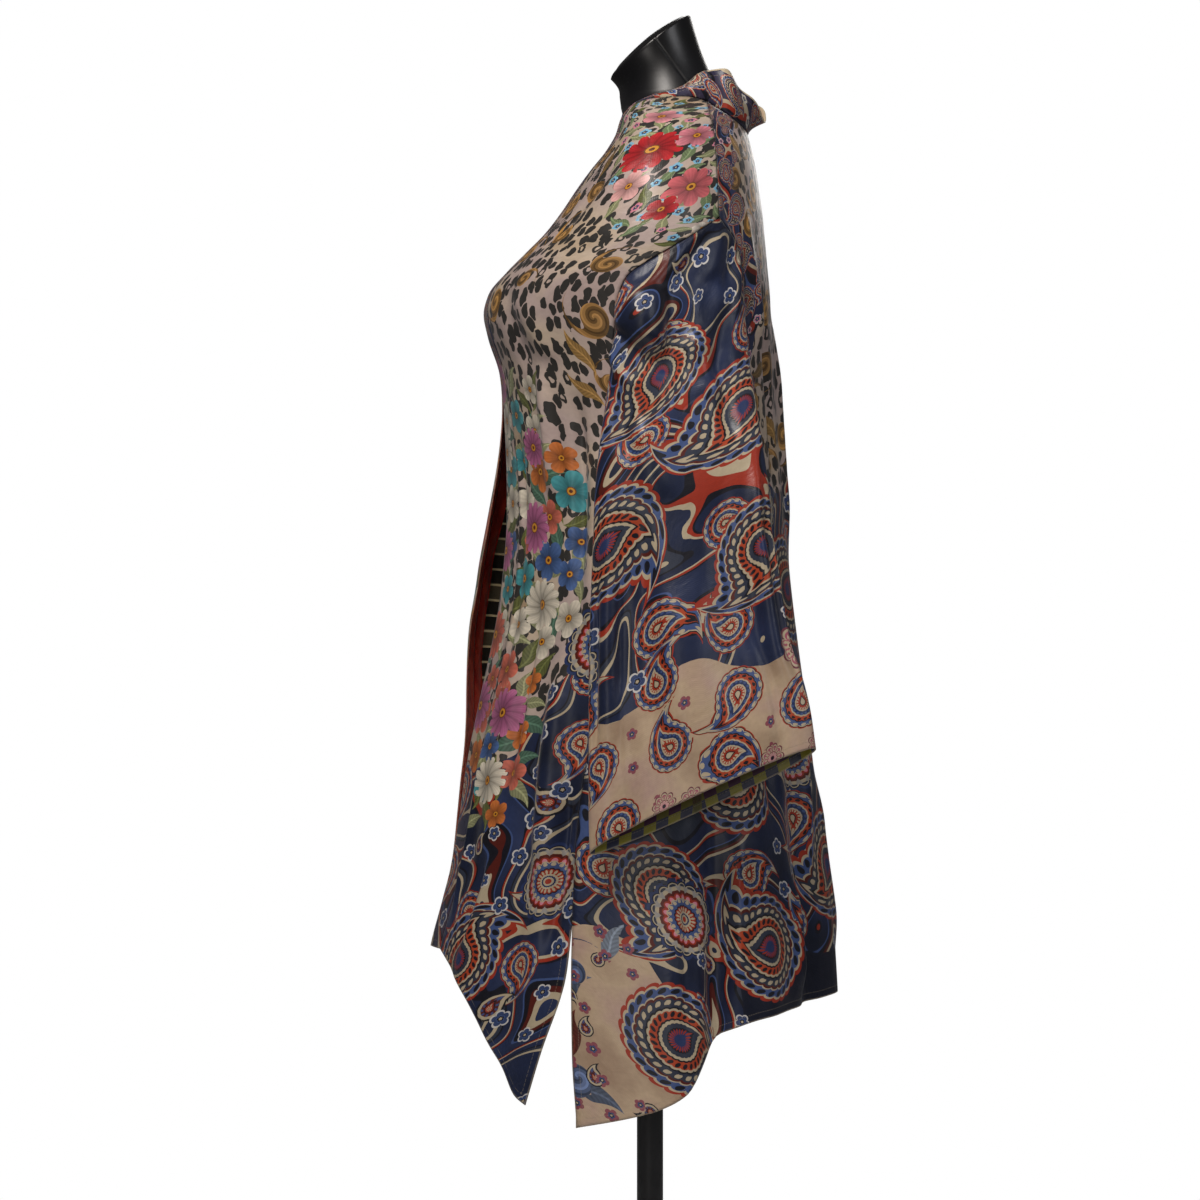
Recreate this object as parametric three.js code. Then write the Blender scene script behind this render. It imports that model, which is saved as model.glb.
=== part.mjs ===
// A kimono cardigan of printed silk, worn by a limbless dress form on a round stand.
//
// Millimetres, +Z up, front of the garment towards -Y, the wearer's left towards +X.
// The origin is on the floor, at the centre of the stand's base.
//
// The garment is cut as a back, two fronts, two wide sleeves and one long band, which runs up the
// front edges and stands as a collar behind the neck. Each piece is a wall of even thickness, made
// from one shared surface, so neighbours meet at their seams with a hairline gap.
import * as THREE from "three";

// ---- Driving sizes ---------------------------------------------------------------------------

const WALL = 1.8; // two layers of silk, sewn as one
const SEAM_GAP = 0.3; // between neighbouring pieces
const REST_GAP = 2; // between the form's shoulders and the cloth that lies on them

const NECKLINE_SIDE_Z = 1396; // neckline beside the neck
const NECKLINE_BACK_Z = 1366; // neckline at the centre of the back
const NECKLINE_FRONT_Z = 1392; // where the neckline turns down into the front edge
const NECKLINE_CROWN = 6; // how far it rises between the two
const SHOULDER_Z = 1345; // under this height every row of the cloth is level
const ARMHOLE_TOP_Z = 1262;
const UNDERARM_Z = 1000;
const SLIT_TOP_Z = 540; // the side seams are open from here down, and the rows stop being level

const BACK_COLUMNS = 26;
const FRONT_COLUMNS = 10;
const NECK_ROWS = 4; // rows between the shoulder height and the neckline
const BAND_SPANS = 3; // across the band's width
const HEM_ROWS = 5; // rows between the top of the slits and the hem
const LEVEL_ROWS_Z = [
  SHOULDER_Z, 1318, 1290, ARMHOLE_TOP_Z, 1240, 1218, 1198, 1174, 1148, 1120, 1088, 1054, 1024,
  UNDERARM_Z, 950, 896, 840, 782, 722, 662, 600, SLIT_TOP_Z,
];

// The cloth's outer surface: half width, and depth before and behind the axis, at each height.
const BODY = [
  { z: 1404, half: 70, front: 30, back: 84 },
  { z: 1396, half: 79, front: 32, back: 90 },
  { z: 1388, half: 98, front: 34, back: 95 },
  { z: 1378, half: 124, front: 37, back: 100 },
  { z: 1364, half: 151, front: 39, back: 105 },
  { z: 1345, half: 175, front: 49, back: 110 },
  { z: 1324, half: 192, front: 66, back: 114 },
  { z: 1302, half: 204, front: 82, back: 117 },
  { z: 1281, half: 212, front: 96, back: 120 },
  { z: 1259, half: 218, front: 113, back: 122 },
  { z: 1238, half: 221, front: 134, back: 124 },
  { z: 1217, half: 221, front: 155, back: 126 },
  { z: 1195, half: 219, front: 173, back: 128 },
  { z: 1174, half: 216, front: 178, back: 129 },
  { z: 1152, half: 214, front: 174, back: 131 },
  { z: 1110, half: 208, front: 161, back: 133 },
  { z: 1060, half: 203, front: 156, back: 136 },
  { z: 1000, half: 201, front: 154, back: 140 },
  { z: 955, half: 203, front: 155, back: 144 },
  { z: 890, half: 208, front: 162, back: 150 },
  { z: 826, half: 215, front: 174, back: 157 },
  { z: 761, half: 223, front: 189, back: 165 },
  { z: 694, half: 231, front: 203, back: 172 },
  { z: 640, half: 237, front: 210, back: 177 },
  { z: 596, half: 241, front: 216, back: 182 },
  { z: 553, half: 245, front: 226, back: 188 },
  { z: 510, half: 249, front: 237, back: 193 },
  { z: 400, half: 256, front: 256, back: 199 },
  { z: 290, half: 260, front: 272, back: 204 },
];

// Soft folds that hang down the body: where round it (degrees, 0 is the wearer's left and 90 the
// back), half width in degrees, depth where it is full (+ out, - in), and the heights where it
// starts, is full, starts to fade and is gone.
const BODY_FOLDS = [
  { at: -100, wide: 17, deep: 27, start: 1110, full: 900, fade: 860, gone: 690 },
  { at: -38, wide: 4.5, deep: -9, start: 1010, full: 640, fade: 0, gone: -1 },
  { at: -53, wide: 5, deep: 7, start: 900, full: 560, fade: 0, gone: -1 },
  { at: 7, wide: 7, deep: 9, start: 780, full: 420, fade: 0, gone: -1 },
  { at: 20, wide: 4.5, deep: -22, start: 860, full: 430, fade: 0, gone: -1 },
  { at: 36, wide: 7, deep: 10, start: 860, full: 430, fade: 0, gone: -1 },
  { at: 58, wide: 5, deep: -11, start: 1060, full: 480, fade: 0, gone: -1 },
  { at: 74, wide: 6, deep: 8, start: 1120, full: 480, fade: 0, gone: -1 },
  { at: 97, wide: 5.5, deep: -10, start: 1160, full: 480, fade: 0, gone: -1 },
  { at: 121, wide: 6, deep: 9, start: 1080, full: 480, fade: 0, gone: -1 },
  { at: 143, wide: 5, deep: -12, start: 980, full: 450, fade: 0, gone: -1 },
  { at: 162, wide: 6, deep: -18, start: 860, full: 430, fade: 0, gone: -1 },
  { at: 177, wide: 7, deep: 10, start: 800, full: 420, fade: 0, gone: -1 },
  { at: -141, wide: 5, deep: -10, start: 980, full: 620, fade: 0, gone: -1 },
  { at: -125, wide: 5, deep: 7, start: 880, full: 600, fade: 0, gone: -1 },
];

// The armhole, seen from the side: its front and back edges' y at each height.
const ARMHOLE = [
  { z: ARMHOLE_TOP_Z, front: 69, back: 69 },
  { z: 1240, front: 38, back: 86 },
  { z: 1218, front: 2, back: 93 },
  { z: 1198, front: -27, back: 96 },
  { z: 1174, front: -36, back: 95 },
  { z: 1148, front: -39, back: 91 },
  { z: 1120, front: -40, back: 85 },
  { z: 1088, front: -39, back: 74 },
  { z: 1054, front: -32, back: 56 },
  { z: 1024, front: -18, back: 31 },
  { z: UNDERARM_Z, front: 0, back: 0 },
];

const ARMHOLE_MIDDLE_Y = 25;

// The seams' y at each height: over the shoulder, then down the side. Below the slit's top the
// front and the back go their own ways.
const SHOULDER_SEAM = [
  { z: NECKLINE_SIDE_Z, y: 59 },
  { z: SHOULDER_Z, y: 66 },
  { z: ARMHOLE_TOP_Z, y: 69 },
];
const SIDE_SEAM = [
  { z: UNDERARM_Z, y: 0 },
  { z: 900, y: -28 },
  { z: 760, y: -58 },
  { z: 620, y: -78 },
  { z: SLIT_TOP_Z, y: -82 },
];
const SLIT = [
  { z: SLIT_TOP_Z, front: -82, back: -82 },
  { z: 490, front: -88, back: -83 },
  { z: 410, front: -114, back: -82 },
  { z: 350, front: -132, back: -78 },
];

// The hem's height along each panel, as a share of the way from its side seam.
const FRONT_HEM = [
  { at: 0, z: 358 },
  { at: 0.1, z: 367 },
  { at: 0.31, z: 403 },
  { at: 0.5, z: 442 },
  { at: 0.69, z: 477 },
  { at: 0.9, z: 497 },
  { at: 1, z: 505 },
];
const BACK_HEM = [
  { at: 0, z: 338 },
  { at: 0.065, z: 351 },
  { at: 0.125, z: 372 },
  { at: 0.16, z: 406 },
  { at: 0.19, z: 431 },
  { at: 0.25, z: 446 },
  { at: 0.37, z: 454 },
  { at: 0.5, z: 463 },
];

// How far from the middle each front panel's sewn edge runs, and the band's free edge inside it.
const FRONT_EDGE_LEFT = [
  { z: 1392, sewn: 76, free: 62 },
  { z: 1375, sewn: 81, free: 63 },
  { z: 1345, sewn: 86, free: 60 },
  { z: 1302, sewn: 83, free: 49 },
  { z: 1259, sewn: 73, free: 34 },
  { z: 1217, sewn: 62, free: 22 },
  { z: 1174, sewn: 54, free: 14 },
  { z: 1131, sewn: 56, free: 16 },
  { z: 1090, sewn: 64, free: 24 },
  { z: 1040, sewn: 76, free: 36 },
  { z: 940, sewn: 94, free: 54 },
  { z: 826, sewn: 106, free: 66 },
  { z: 694, sewn: 106, free: 66 },
  { z: 553, sewn: 96, free: 56 },
  { z: 490, sewn: 92, free: 52 },
];
const FRONT_EDGE_RIGHT = [
  { z: 1392, sewn: 76, free: 62 },
  { z: 1375, sewn: 81, free: 63 },
  { z: 1345, sewn: 86, free: 60 },
  { z: 1302, sewn: 83, free: 49 },
  { z: 1259, sewn: 73, free: 34 },
  { z: 1217, sewn: 60, free: 21 },
  { z: 1174, sewn: 49, free: 10 },
  { z: 1131, sewn: 45, free: 6 },
  { z: 1040, sewn: 44, free: 5 },
  { z: 940, sewn: 47, free: 8 },
  { z: 826, sewn: 53, free: 14 },
  { z: 694, sewn: 66, free: 27 },
  { z: 553, sewn: 88, free: 49 },
  { z: 490, sewn: 92, free: 53 },
];

// The band round the neck: the height of its free edge, how far that leans away from the neck,
// and how far the band rolls out half way up, by the direction from the neck's axis (degrees,
// 0 is the wearer's left, 90 the back and 180 the right). It stands up beside the nape and falls
// outwards behind it, further on the left.
const NECK_AXIS_Y = 22;
const COLLAR = [
  { at: -27, z: 1397, lean: -12, roll: 0 },
  { at: -8, z: 1405, lean: -9, roll: 1 },
  { at: 12, z: 1413, lean: -7, roll: 2 },
  { at: 28, z: 1427, lean: -4, roll: 5 },
  { at: 42, z: 1430, lean: -3, roll: 6 },
  { at: 52, z: 1412, lean: -2, roll: 4 },
  { at: 66, z: 1400, lean: 12, roll: 0 },
  { at: 86, z: 1377, lean: 19, roll: -5 },
  { at: 98, z: 1394, lean: 21, roll: -4 },
  { at: 114, z: 1405, lean: 15, roll: 0 },
  { at: 127, z: 1409, lean: 0, roll: 3 },
  { at: 138, z: 1427, lean: -4, roll: 5 },
  { at: 152, z: 1427, lean: -4, roll: 5 },
  { at: 168, z: 1413, lean: -7, roll: 2 },
  { at: 188, z: 1405, lean: -9, roll: 1 },
  { at: 207, z: 1397, lean: -12, roll: 0 },
];

// The hanging part of a sleeve: height of each ring's middle, its front and back edges' y, the x
// of the layer beside the body and of the outer layer, how steeply the ring climbs backwards, and
// how far the outer layer is drawn up over the inner one.
const SLEEVE = [
  { z: 945, front: -60, back: 119, inner: 217, outer: 262, climb: 0.0, lift: 0 },
  { z: 900, front: -62, back: 126, inner: 221, outer: 267, climb: 0.05, lift: 0 },
  { z: 850, front: -64, back: 132, inner: 226, outer: 272, climb: 0.13, lift: 1 },
  { z: 800, front: -65, back: 139, inner: 232, outer: 277, climb: 0.24, lift: 3 },
  { z: 755, front: -65, back: 150, inner: 238, outer: 282, climb: 0.34, lift: 5 },
  { z: 710, front: -65, back: 158, inner: 243, outer: 286, climb: 0.42, lift: 8 },
  { z: 668, front: -64, back: 163, inner: 247, outer: 289, climb: 0.46, lift: 10 },
];
const ELBOW_ROWS = 9; // rows between the armhole and the first of those rings

// How a column of the sleeve leaves the armhole: outwards by this much, and down by this share of
// its drop, at the armhole's lowest and highest points. At the hanging part it arrives straight down
// at this share of its drop.
const SLEEVE_LEAVES = { out: [70, 50], down: [0.2, 0.9] };
const SLEEVE_ARRIVES = { down: [1.2, 1] };
const RING_SQUARENESS = 2.5; // exponent of the flattened oval

// Soft folds of the sleeve: where round it (degrees, 0 is the outer layer, 90 its front edge, 180
// the layer beside the body), half width, depth, and the heights where it starts, is full, fades.
const SLEEVE_FOLDS = [
  { at: 44, wide: 20, deep: 17, start: 1240, full: 1160, fade: 1136, gone: 1096 },
  { at: 12, wide: 12, deep: -8, start: 1225, full: 1165, fade: 1130, gone: 1030 },
  { at: 38, wide: 9, deep: -8, start: 960, full: 820, fade: 0, gone: -1 },
  { at: 0, wide: 14, deep: 6, start: 960, full: 760, fade: 0, gone: -1 },
  { at: -38, wide: 10, deep: -9, start: 1000, full: 760, fade: 0, gone: -1 },
];

// The dress form under the cloth, from the chest down, and the neck that shows over it.
const FORM = [
  { z: 1324, half: 180, front: 62, back: 108 },
  { z: 1281, half: 178, front: 86, back: 112 },
  { z: 1250, half: 168, front: 110, back: 116 },
  { z: 1217, half: 157, front: 140, back: 119 },
  { z: 1185, half: 152, front: 165, back: 119 },
  { z: 1150, half: 147, front: 158, back: 115 },
  { z: 1100, half: 138, front: 124, back: 104 },
  { z: 1050, half: 126, front: 106, back: 92 },
  { z: 1000, half: 119, front: 101, back: 86 },
  { z: 950, half: 128, front: 106, back: 94 },
  { z: 890, half: 152, front: 112, back: 112 },
  { z: 820, half: 168, front: 112, back: 126 },
  { z: 760, half: 166, front: 104, back: 122 },
  { z: 716, half: 152, front: 92, back: 106 },
  { z: 700, half: 136, front: 78, back: 92 },
];
const FORM_BOTTOM_Z = 700;
const FORM_COLUMNS = 28;
const FORM_FITS_FROM_Z = 1276; // from here up to FORM_FITTED_Z the form swells to fill the cloth
const FORM_FITTED_Z = 1322;
const FORM_ROWS_Z = [
  1391, 1384, 1374, 1360, 1344, 1322, 1300, 1276, 1250, 1217, 1185, 1150, 1100, 1050, 1000, 945,
  885, 820, 760, 716,
];
const NECK_ROOT = { z: 1396, half: 67, middle: 26, depth: 57 };
const NECK_BASE = { z: 1408, half: 58, middle: 22.5, depth: 55 };
const NECK_TOP = { half: 50, middle: 1, depth: 43, frontZ: 1431, backZ: 1497 };
const NECK_EDGE = 4; // rounding of the neck's cut top
const NECK_DOME = 9; // how far that top bulges in its middle
const NECK_WAIST = 3; // how much slimmer the neck is half way up

// The stand.
const POLE_RADIUS = 14;
const SOCKET_RADIUS = 24;
const SOCKET_HEIGHT = 46;
const BASE_RADIUS = 175;
const BASE_THICKNESS = 9;
const HUB_RADIUS = 34;
const HUB_HEIGHT = 38;
const STAND_SIDES = 40;

// ---- Curves and ramps ------------------------------------------------------------------------

const radians = THREE.MathUtils.degToRad;
const lerp = THREE.MathUtils.lerp;
const clamp01 = (t) => THREE.MathUtils.clamp(t, 0, 1);
const ease = (t) => clamp01(t) ** 2 * (3 - 2 * clamp01(t));

// A monotone cubic through a table's rows: column against key.
function curveOf(rows, column, key = "z") {
  const points = rows.map((row) => [row[key], row[column]]).sort((a, b) => a[0] - b[0]);
  const secants = points.slice(1).map((p, i) => (p[1] - points[i][1]) / (p[0] - points[i][0]));
  const slopes = points.map((_, i) => {
    const before = secants[Math.max(i - 1, 0)];
    const after = secants[Math.min(i, secants.length - 1)];
    return before * after <= 0 ? 0 : (2 * before * after) / (before + after);
  });
  return (at) => {
    const last = points.length - 1;
    if (at <= points[0][0]) return points[0][1];
    if (at >= points[last][0]) return points[last][1];
    const i = points.findIndex((p) => p[0] >= at) - 1;
    const width = points[i + 1][0] - points[i][0];
    const t = (at - points[i][0]) / width;
    return (
      points[i][1] * (1 + 2 * t) * (1 - t) ** 2 +
      slopes[i] * width * t * (1 - t) ** 2 +
      points[i + 1][1] * t * t * (3 - 2 * t) +
      slopes[i + 1] * width * t * t * (t - 1)
    );
  };
}

// How full a fold is at a height.
function fullness(fold, z) {
  const begun = ease((fold.start - z) / (fold.start - fold.full));
  const left = fold.gone < 0 ? 1 : ease((z - fold.gone) / (fold.fade - fold.gone));
  return begun * left;
}

// The folds' total depth at an angle in degrees and a height.
function foldDepth(folds, degrees, z) {
  return folds.reduce((sum, fold) => {
    const away = ((degrees - fold.at + 540) % 360) - 180;
    return sum + fold.deep * fullness(fold, z) * Math.exp(-((away / fold.wide) ** 2));
  }, 0);
}

// ---- The cloth's surface ---------------------------------------------------------------------

const bodyHalf = curveOf(BODY, "half");
const bodyFront = curveOf(BODY, "front");
const bodyBack = curveOf(BODY, "back");

// A point of the cloth's outer surface, by angle (radians, 0 is +X, 90 degrees is +Y) and height.
function clothPoint(angle, z, folded = true) {
  const depth = Math.sin(angle) < 0 ? bodyFront(z) : bodyBack(z);
  const point = new THREE.Vector3(bodyHalf(z) * Math.cos(angle), depth * Math.sin(angle), z);
  if (folded) {
    const out = foldDepth(BODY_FOLDS, THREE.MathUtils.radToDeg(angle), z);
    const level = Math.hypot(point.x, point.y);
    point.x *= 1 + out / level;
    point.y *= 1 + out / level;
  }
  return point;
}

// The outward normal of that surface.
function clothNormal(angle, z, folded = true) {
  const turn = 0.004;
  const drop = 1;
  const round = clothPoint(angle + turn, z, folded).sub(clothPoint(angle - turn, z, folded));
  const up = clothPoint(angle, z + drop, folded).sub(clothPoint(angle, z - drop, folded));
  return round.cross(up).normalize();
}

// The angle, on the wearer's left, where the surface has this y at this height.
function angleAtY(y, z) {
  return Math.asin(THREE.MathUtils.clamp(y / (y < 0 ? bodyFront(z) : bodyBack(z)), -1, 1));
}

// The angle, on the wearer's left and in front, where the surface has this x at this height.
function angleAtX(x, z) {
  return -Math.acos(clamp01(x / bodyHalf(z)));
}

// ---- Seams and edges, each as the angle on the wearer's left at a height ---------------------

const shoulderY = curveOf(SHOULDER_SEAM, "y");
const armholeY = { front: curveOf(ARMHOLE, "front"), back: curveOf(ARMHOLE, "back") };
const sideY = curveOf(SIDE_SEAM, "y");
const slitY = { front: curveOf(SLIT, "front"), back: curveOf(SLIT, "back") };

// The edge that a front or the back shares with the shoulder seam, the armhole and the side seam.
function sideAngle(panel, z) {
  if (z >= ARMHOLE_TOP_Z) return angleAtY(shoulderY(z), z);
  if (z > UNDERARM_Z) return angleAtY(armholeY[panel](z), z);
  return angleAtY(z >= SLIT_TOP_Z ? sideY(z) : slitY[panel](z), z);
}

const frontEdge = { left: FRONT_EDGE_LEFT, right: FRONT_EDGE_RIGHT };
const edgeX = Object.fromEntries(
  Object.entries(frontEdge).map(([side, rows]) => [
    side,
    { sewn: curveOf(rows, "sewn"), free: curveOf(rows, "free") },
  ]),
);
const edgeAngle = (side, edge, z) => angleAtX(edgeX[side][edge](z), z);

// Half the seam gap, as an angle.
const halfGap = (z) => SEAM_GAP / 2 / bodyFront(z);

// Turns an angle on the wearer's left into the same place on the given side.
const onSide = (side, angle) => (side === "left" ? angle : Math.PI - angle);

// ---- Rows shared by the panels ---------------------------------------------------------------

const frontHem = curveOf(FRONT_HEM, "z", "at");
const backHem = curveOf(BACK_HEM, "z", "at");

// The heights of one column of cloth, from its top edge to its hem.
function columnHeights(topZ, hemZ) {
  const neck = Array.from({ length: NECK_ROWS }, (_, i) =>
    lerp(topZ, SHOULDER_Z, i / NECK_ROWS),
  );
  const hem = Array.from({ length: HEM_ROWS }, (_, i) =>
    lerp(SLIT_TOP_Z, hemZ, (i + 1) / HEM_ROWS),
  );
  return [...neck, ...LEVEL_ROWS_Z, ...hem];
}

const frontNeck = (u) =>
  lerp(NECKLINE_SIDE_Z, NECKLINE_FRONT_Z, u) + NECKLINE_CROWN * Math.sin(Math.PI * u);
const backNeck = (u) => lerp(NECKLINE_BACK_Z, NECKLINE_SIDE_Z, (2 * Math.abs(u - 0.5)) ** 2);

// The cloth's outer points and inner points on a grid, as rows of columns. at(u, row) gives the
// angle and height of each.
function clothGrid(columns, at) {
  const rows = columnHeights(0, 0).length;
  const grid = { outer: [], inner: [] };
  for (let j = 0; j < rows; j++) {
    const spots = Array.from({ length: columns + 1 }, (_, i) => at(i / columns, j));
    grid.outer.push(spots.map(({ angle, z }) => clothPoint(angle, z)));
    grid.inner.push(
      spots.map(({ angle, z }) => clothPoint(angle, z).addScaledVector(clothNormal(angle, z), -WALL)),
    );
  }
  return grid;
}

// Column 0 is at the side seam and the last column at the band.
function frontGrid(side) {
  return clothGrid(FRONT_COLUMNS, (u, j) => {
    const z = columnHeights(frontNeck(u), frontHem(u))[j];
    const from = sideAngle("front", z) - halfGap(z);
    const to = edgeAngle(side, "sewn", z) + halfGap(z);
    return { angle: onSide(side, lerp(from, to, u)), z };
  });
}

// Column 0 is at the wearer's left side and the last column at the right.
function backGrid() {
  return clothGrid(BACK_COLUMNS, (u, j) => {
    const z = columnHeights(backNeck(u), backHem(Math.min(u, 1 - u)))[j];
    const from = sideAngle("back", z) + halfGap(z);
    return { angle: lerp(from, Math.PI - from, u), z };
  });
}

// ---- Solids ----------------------------------------------------------------------------------

// Collects corners and triangles, and gives a closed mesh that faces out.
function solid(name, build, material) {
  const corners = [];
  const faces = [];
  build({
    corner: (point) => corners.push(point.x, point.y, point.z) / 3 - 1,
    triangle: (a, b, c) => faces.push(a, b, c),
    quad: (a, b, c, d) => faces.push(a, b, c, a, c, d),
  });
  const volume = faces.reduce((sum, _, i) => {
    if (i % 3) return sum;
    const [a, b, c] = [0, 1, 2].map((k) => new THREE.Vector3().fromArray(corners, faces[i + k] * 3));
    return sum + a.dot(b.cross(c));
  }, 0);
  if (volume < 0) {
    for (let i = 0; i < faces.length; i += 3) [faces[i], faces[i + 1]] = [faces[i + 1], faces[i]];
  }
  const geometry = new THREE.BufferGeometry();
  geometry.setAttribute("position", new THREE.Float32BufferAttribute(corners, 3));
  geometry.setIndex(faces);
  geometry.computeVertexNormals();
  const mesh = new THREE.Mesh(geometry, material);
  mesh.name = name;
  return mesh;
}

// A wall between two grids of points. A round wall joins its last column to its first.
function wall(name, { outer, inner }, material, round = false) {
  return solid(
    name,
    ({ corner, quad }) => {
      const out = outer.map((row) => row.map(corner));
      const back = inner.map((row) => row.map(corner));
      const lastRow = out.length - 1;
      const columns = out[0].length;
      const spans = round ? columns : columns - 1;
      const next = (i) => (i + 1) % columns;
      for (let j = 0; j < lastRow; j++) {
        for (let i = 0; i < spans; i++) {
          quad(out[j][i], out[j + 1][i], out[j + 1][next(i)], out[j][next(i)]);
          quad(back[j][i], back[j][next(i)], back[j + 1][next(i)], back[j + 1][i]);
        }
        if (!round) {
          quad(out[j][0], back[j][0], back[j + 1][0], out[j + 1][0]);
          const end = columns - 1;
          quad(out[j][end], out[j + 1][end], back[j + 1][end], back[j][end]);
        }
      }
      for (let i = 0; i < spans; i++) {
        quad(out[0][i], out[0][next(i)], back[0][next(i)], back[0][i]);
        quad(out[lastRow][i], back[lastRow][i], back[lastRow][next(i)], out[lastRow][next(i)]);
      }
    },
    material,
  );
}

// ---- The band and collar ---------------------------------------------------------------------

const collarZ = curveOf(COLLAR, "z", "at");
const collarLean = curveOf(COLLAR, "lean", "at");
const collarRoll = curveOf(COLLAR, "roll", "at");

// The points across the band on one front, at each row from the neck to the hem, from its sewn
// edge to its free edge. This stretch lies on the chest.
function bandOnFront(side, grid) {
  return grid.outer.map((row) => {
    const sewn = row[FRONT_COLUMNS];
    const from = edgeAngle(side, "sewn", sewn.z) - halfGap(sewn.z);
    const to = edgeAngle(side, "free", sewn.z);
    return Array.from({ length: BAND_SPANS + 1 }, (_, k) =>
      clothPoint(onSide(side, lerp(from, to, k / BAND_SPANS)), sewn.z),
    );
  });
}

// The points across the band where it stands round the neck, over one point of the neckline.
function bandOnNeck(sewn) {
  const away = new THREE.Vector3(sewn.x, sewn.y - NECK_AXIS_Y, 0).normalize();
  const turned = THREE.MathUtils.radToDeg(Math.atan2(away.y, away.x));
  const degrees = turned < -90 ? turned + 360 : turned;
  const free = sewn.clone().addScaledVector(away, collarLean(degrees)).setZ(collarZ(degrees));
  const start = sewn.clone().add(free.clone().sub(sewn).setLength(SEAM_GAP));
  return Array.from({ length: BAND_SPANS + 1 }, (_, k) => {
    const t = k / BAND_SPANS;
    const rolled = collarRoll(degrees) * Math.sin(Math.PI * t);
    return start.clone().lerp(free, t).addScaledVector(away, rolled);
  });
}

// The whole band, from the left front's hem round the neck to the right front's hem.
function bandGrid(panels) {
  const neckline = [
    ...panels.left.outer[0].slice(1, -1).reverse(),
    ...panels.back.outer[0],
    ...panels.right.outer[0].slice(1, -1),
  ];
  const outer = [
    ...bandOnFront("left", panels.left).reverse(),
    ...neckline.map(bandOnNeck),
    ...bandOnFront("right", panels.right),
  ];
  const inner = outer.map((row, j) =>
    row.map((point, k) => point.clone().addScaledVector(bandNormal(outer, j, k), -WALL)),
  );
  return { outer, inner };
}

// The outward normal at a point of the band.
function bandNormal(grid, j, k) {
  const along = grid[Math.min(j + 1, grid.length - 1)][k].clone().sub(grid[Math.max(j - 1, 0)][k]);
  const across = grid[j][Math.min(k + 1, BAND_SPANS)].clone().sub(grid[j][Math.max(k - 1, 0)]);
  return along.cross(across).normalize();
}

// ---- Sleeves ---------------------------------------------------------------------------------

const sleeveAt = Object.fromEntries(
  ["front", "back", "inner", "outer", "climb", "lift"].map((column) => [
    column,
    curveOf(SLEEVE, column),
  ]),
);
const armholeRows = LEVEL_ROWS_Z.filter((z) => z <= ARMHOLE_TOP_Z && z >= UNDERARM_Z);
const SLEEVE_COLUMNS = 2 * (armholeRows.length - 1);

// The armhole's edge, a seam gap inside the body's own edge, from the top round by the front.
function armholeRing() {
  const down = armholeRows.slice(1, -1);
  const spots = [
    [armholeRows[0], "front"],
    ...down.map((z) => [z, "front"]),
    [armholeRows.at(-1), "back"],
    ...down.reverse().map((z) => [z, "back"]),
  ];
  const middle = { y: ARMHOLE_MIDDLE_Y, z: (ARMHOLE_TOP_Z + UNDERARM_Z) / 2 };
  return spots.map(([z, panel]) => {
    const point = clothPoint(sideAngle(panel, z === ARMHOLE_TOP_Z ? z - 0.01 : z), z);
    const inwards = new THREE.Vector3(0, middle.y - point.y, middle.z - point.z).normalize();
    return point.addScaledVector(inwards, 2 * SEAM_GAP);
  });
}

// A point of the hanging sleeve: column angle in degrees, and the height of its ring's middle.
function sleevePoint(degrees, z) {
  const power = 2 / RING_SQUARENESS;
  const squared = (value) => Math.sign(value) * Math.abs(value) ** power;
  const [front, back] = [sleeveAt.front(z), sleeveAt.back(z)];
  const [near, far] = [sleeveAt.inner(z), sleeveAt.outer(z)];
  const y = (front + back) / 2 - ((back - front) / 2) * squared(Math.sin(radians(degrees)));
  const x = (near + far) / 2 + ((far - near) / 2) * squared(Math.cos(radians(degrees)));
  const drawnUp = sleeveAt.lift(z) * Math.cos(radians(degrees));
  return new THREE.Vector3(x, y, z + sleeveAt.climb(z) * (y - (front + back) / 2) + drawnUp);
}

// Each column leaves the armhole outwards and turns down into the hanging part.
function sleeveGrid() {
  const ring = armholeRing();
  const firstZ = SLEEVE[0].z;
  const columns = ring.map((start, k) => {
    const degrees = (360 * k) / SLEEVE_COLUMNS;
    const end = sleevePoint(degrees, firstZ);
    const drop = start.z - end.z;
    const upper = (1 + Math.cos(radians(degrees))) / 2; // 1 at the top of the armhole
    const leave = new THREE.Vector3(
      lerp(...SLEEVE_LEAVES.out, upper),
      0,
      -lerp(...SLEEVE_LEAVES.down, upper) * drop,
    );
    const arrive = new THREE.Vector3(0, 0, -lerp(...SLEEVE_ARRIVES.down, upper) * drop);
    const elbow = Array.from({ length: ELBOW_ROWS }, (_, j) => {
      const t = j / ELBOW_ROWS;
      return new THREE.Vector3()
        .addScaledVector(start, (1 + 2 * t) * (1 - t) ** 2)
        .addScaledVector(leave, t * (1 - t) ** 2)
        .addScaledVector(end, t * t * (3 - 2 * t))
        .addScaledVector(arrive, t * t * (t - 1));
    });
    return [...elbow, ...SLEEVE.map((row) => sleevePoint(degrees, row.z))];
  });
  const smooth = columns[0].map((_, j) => columns.map((column) => column[j]));
  const outer = smooth.map((row, j) =>
    row.map((point, k) => {
      const deep = j ? foldDepth(SLEEVE_FOLDS, (360 * k) / SLEEVE_COLUMNS, point.z) : 0;
      return point.clone().addScaledVector(gridNormal(smooth, j, k), deep);
    }),
  );
  const inner = outer.map((row, j) =>
    row.map((point, k) => point.clone().addScaledVector(gridNormal(outer, j, k), -WALL)),
  );
  return { outer, inner };
}

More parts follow.
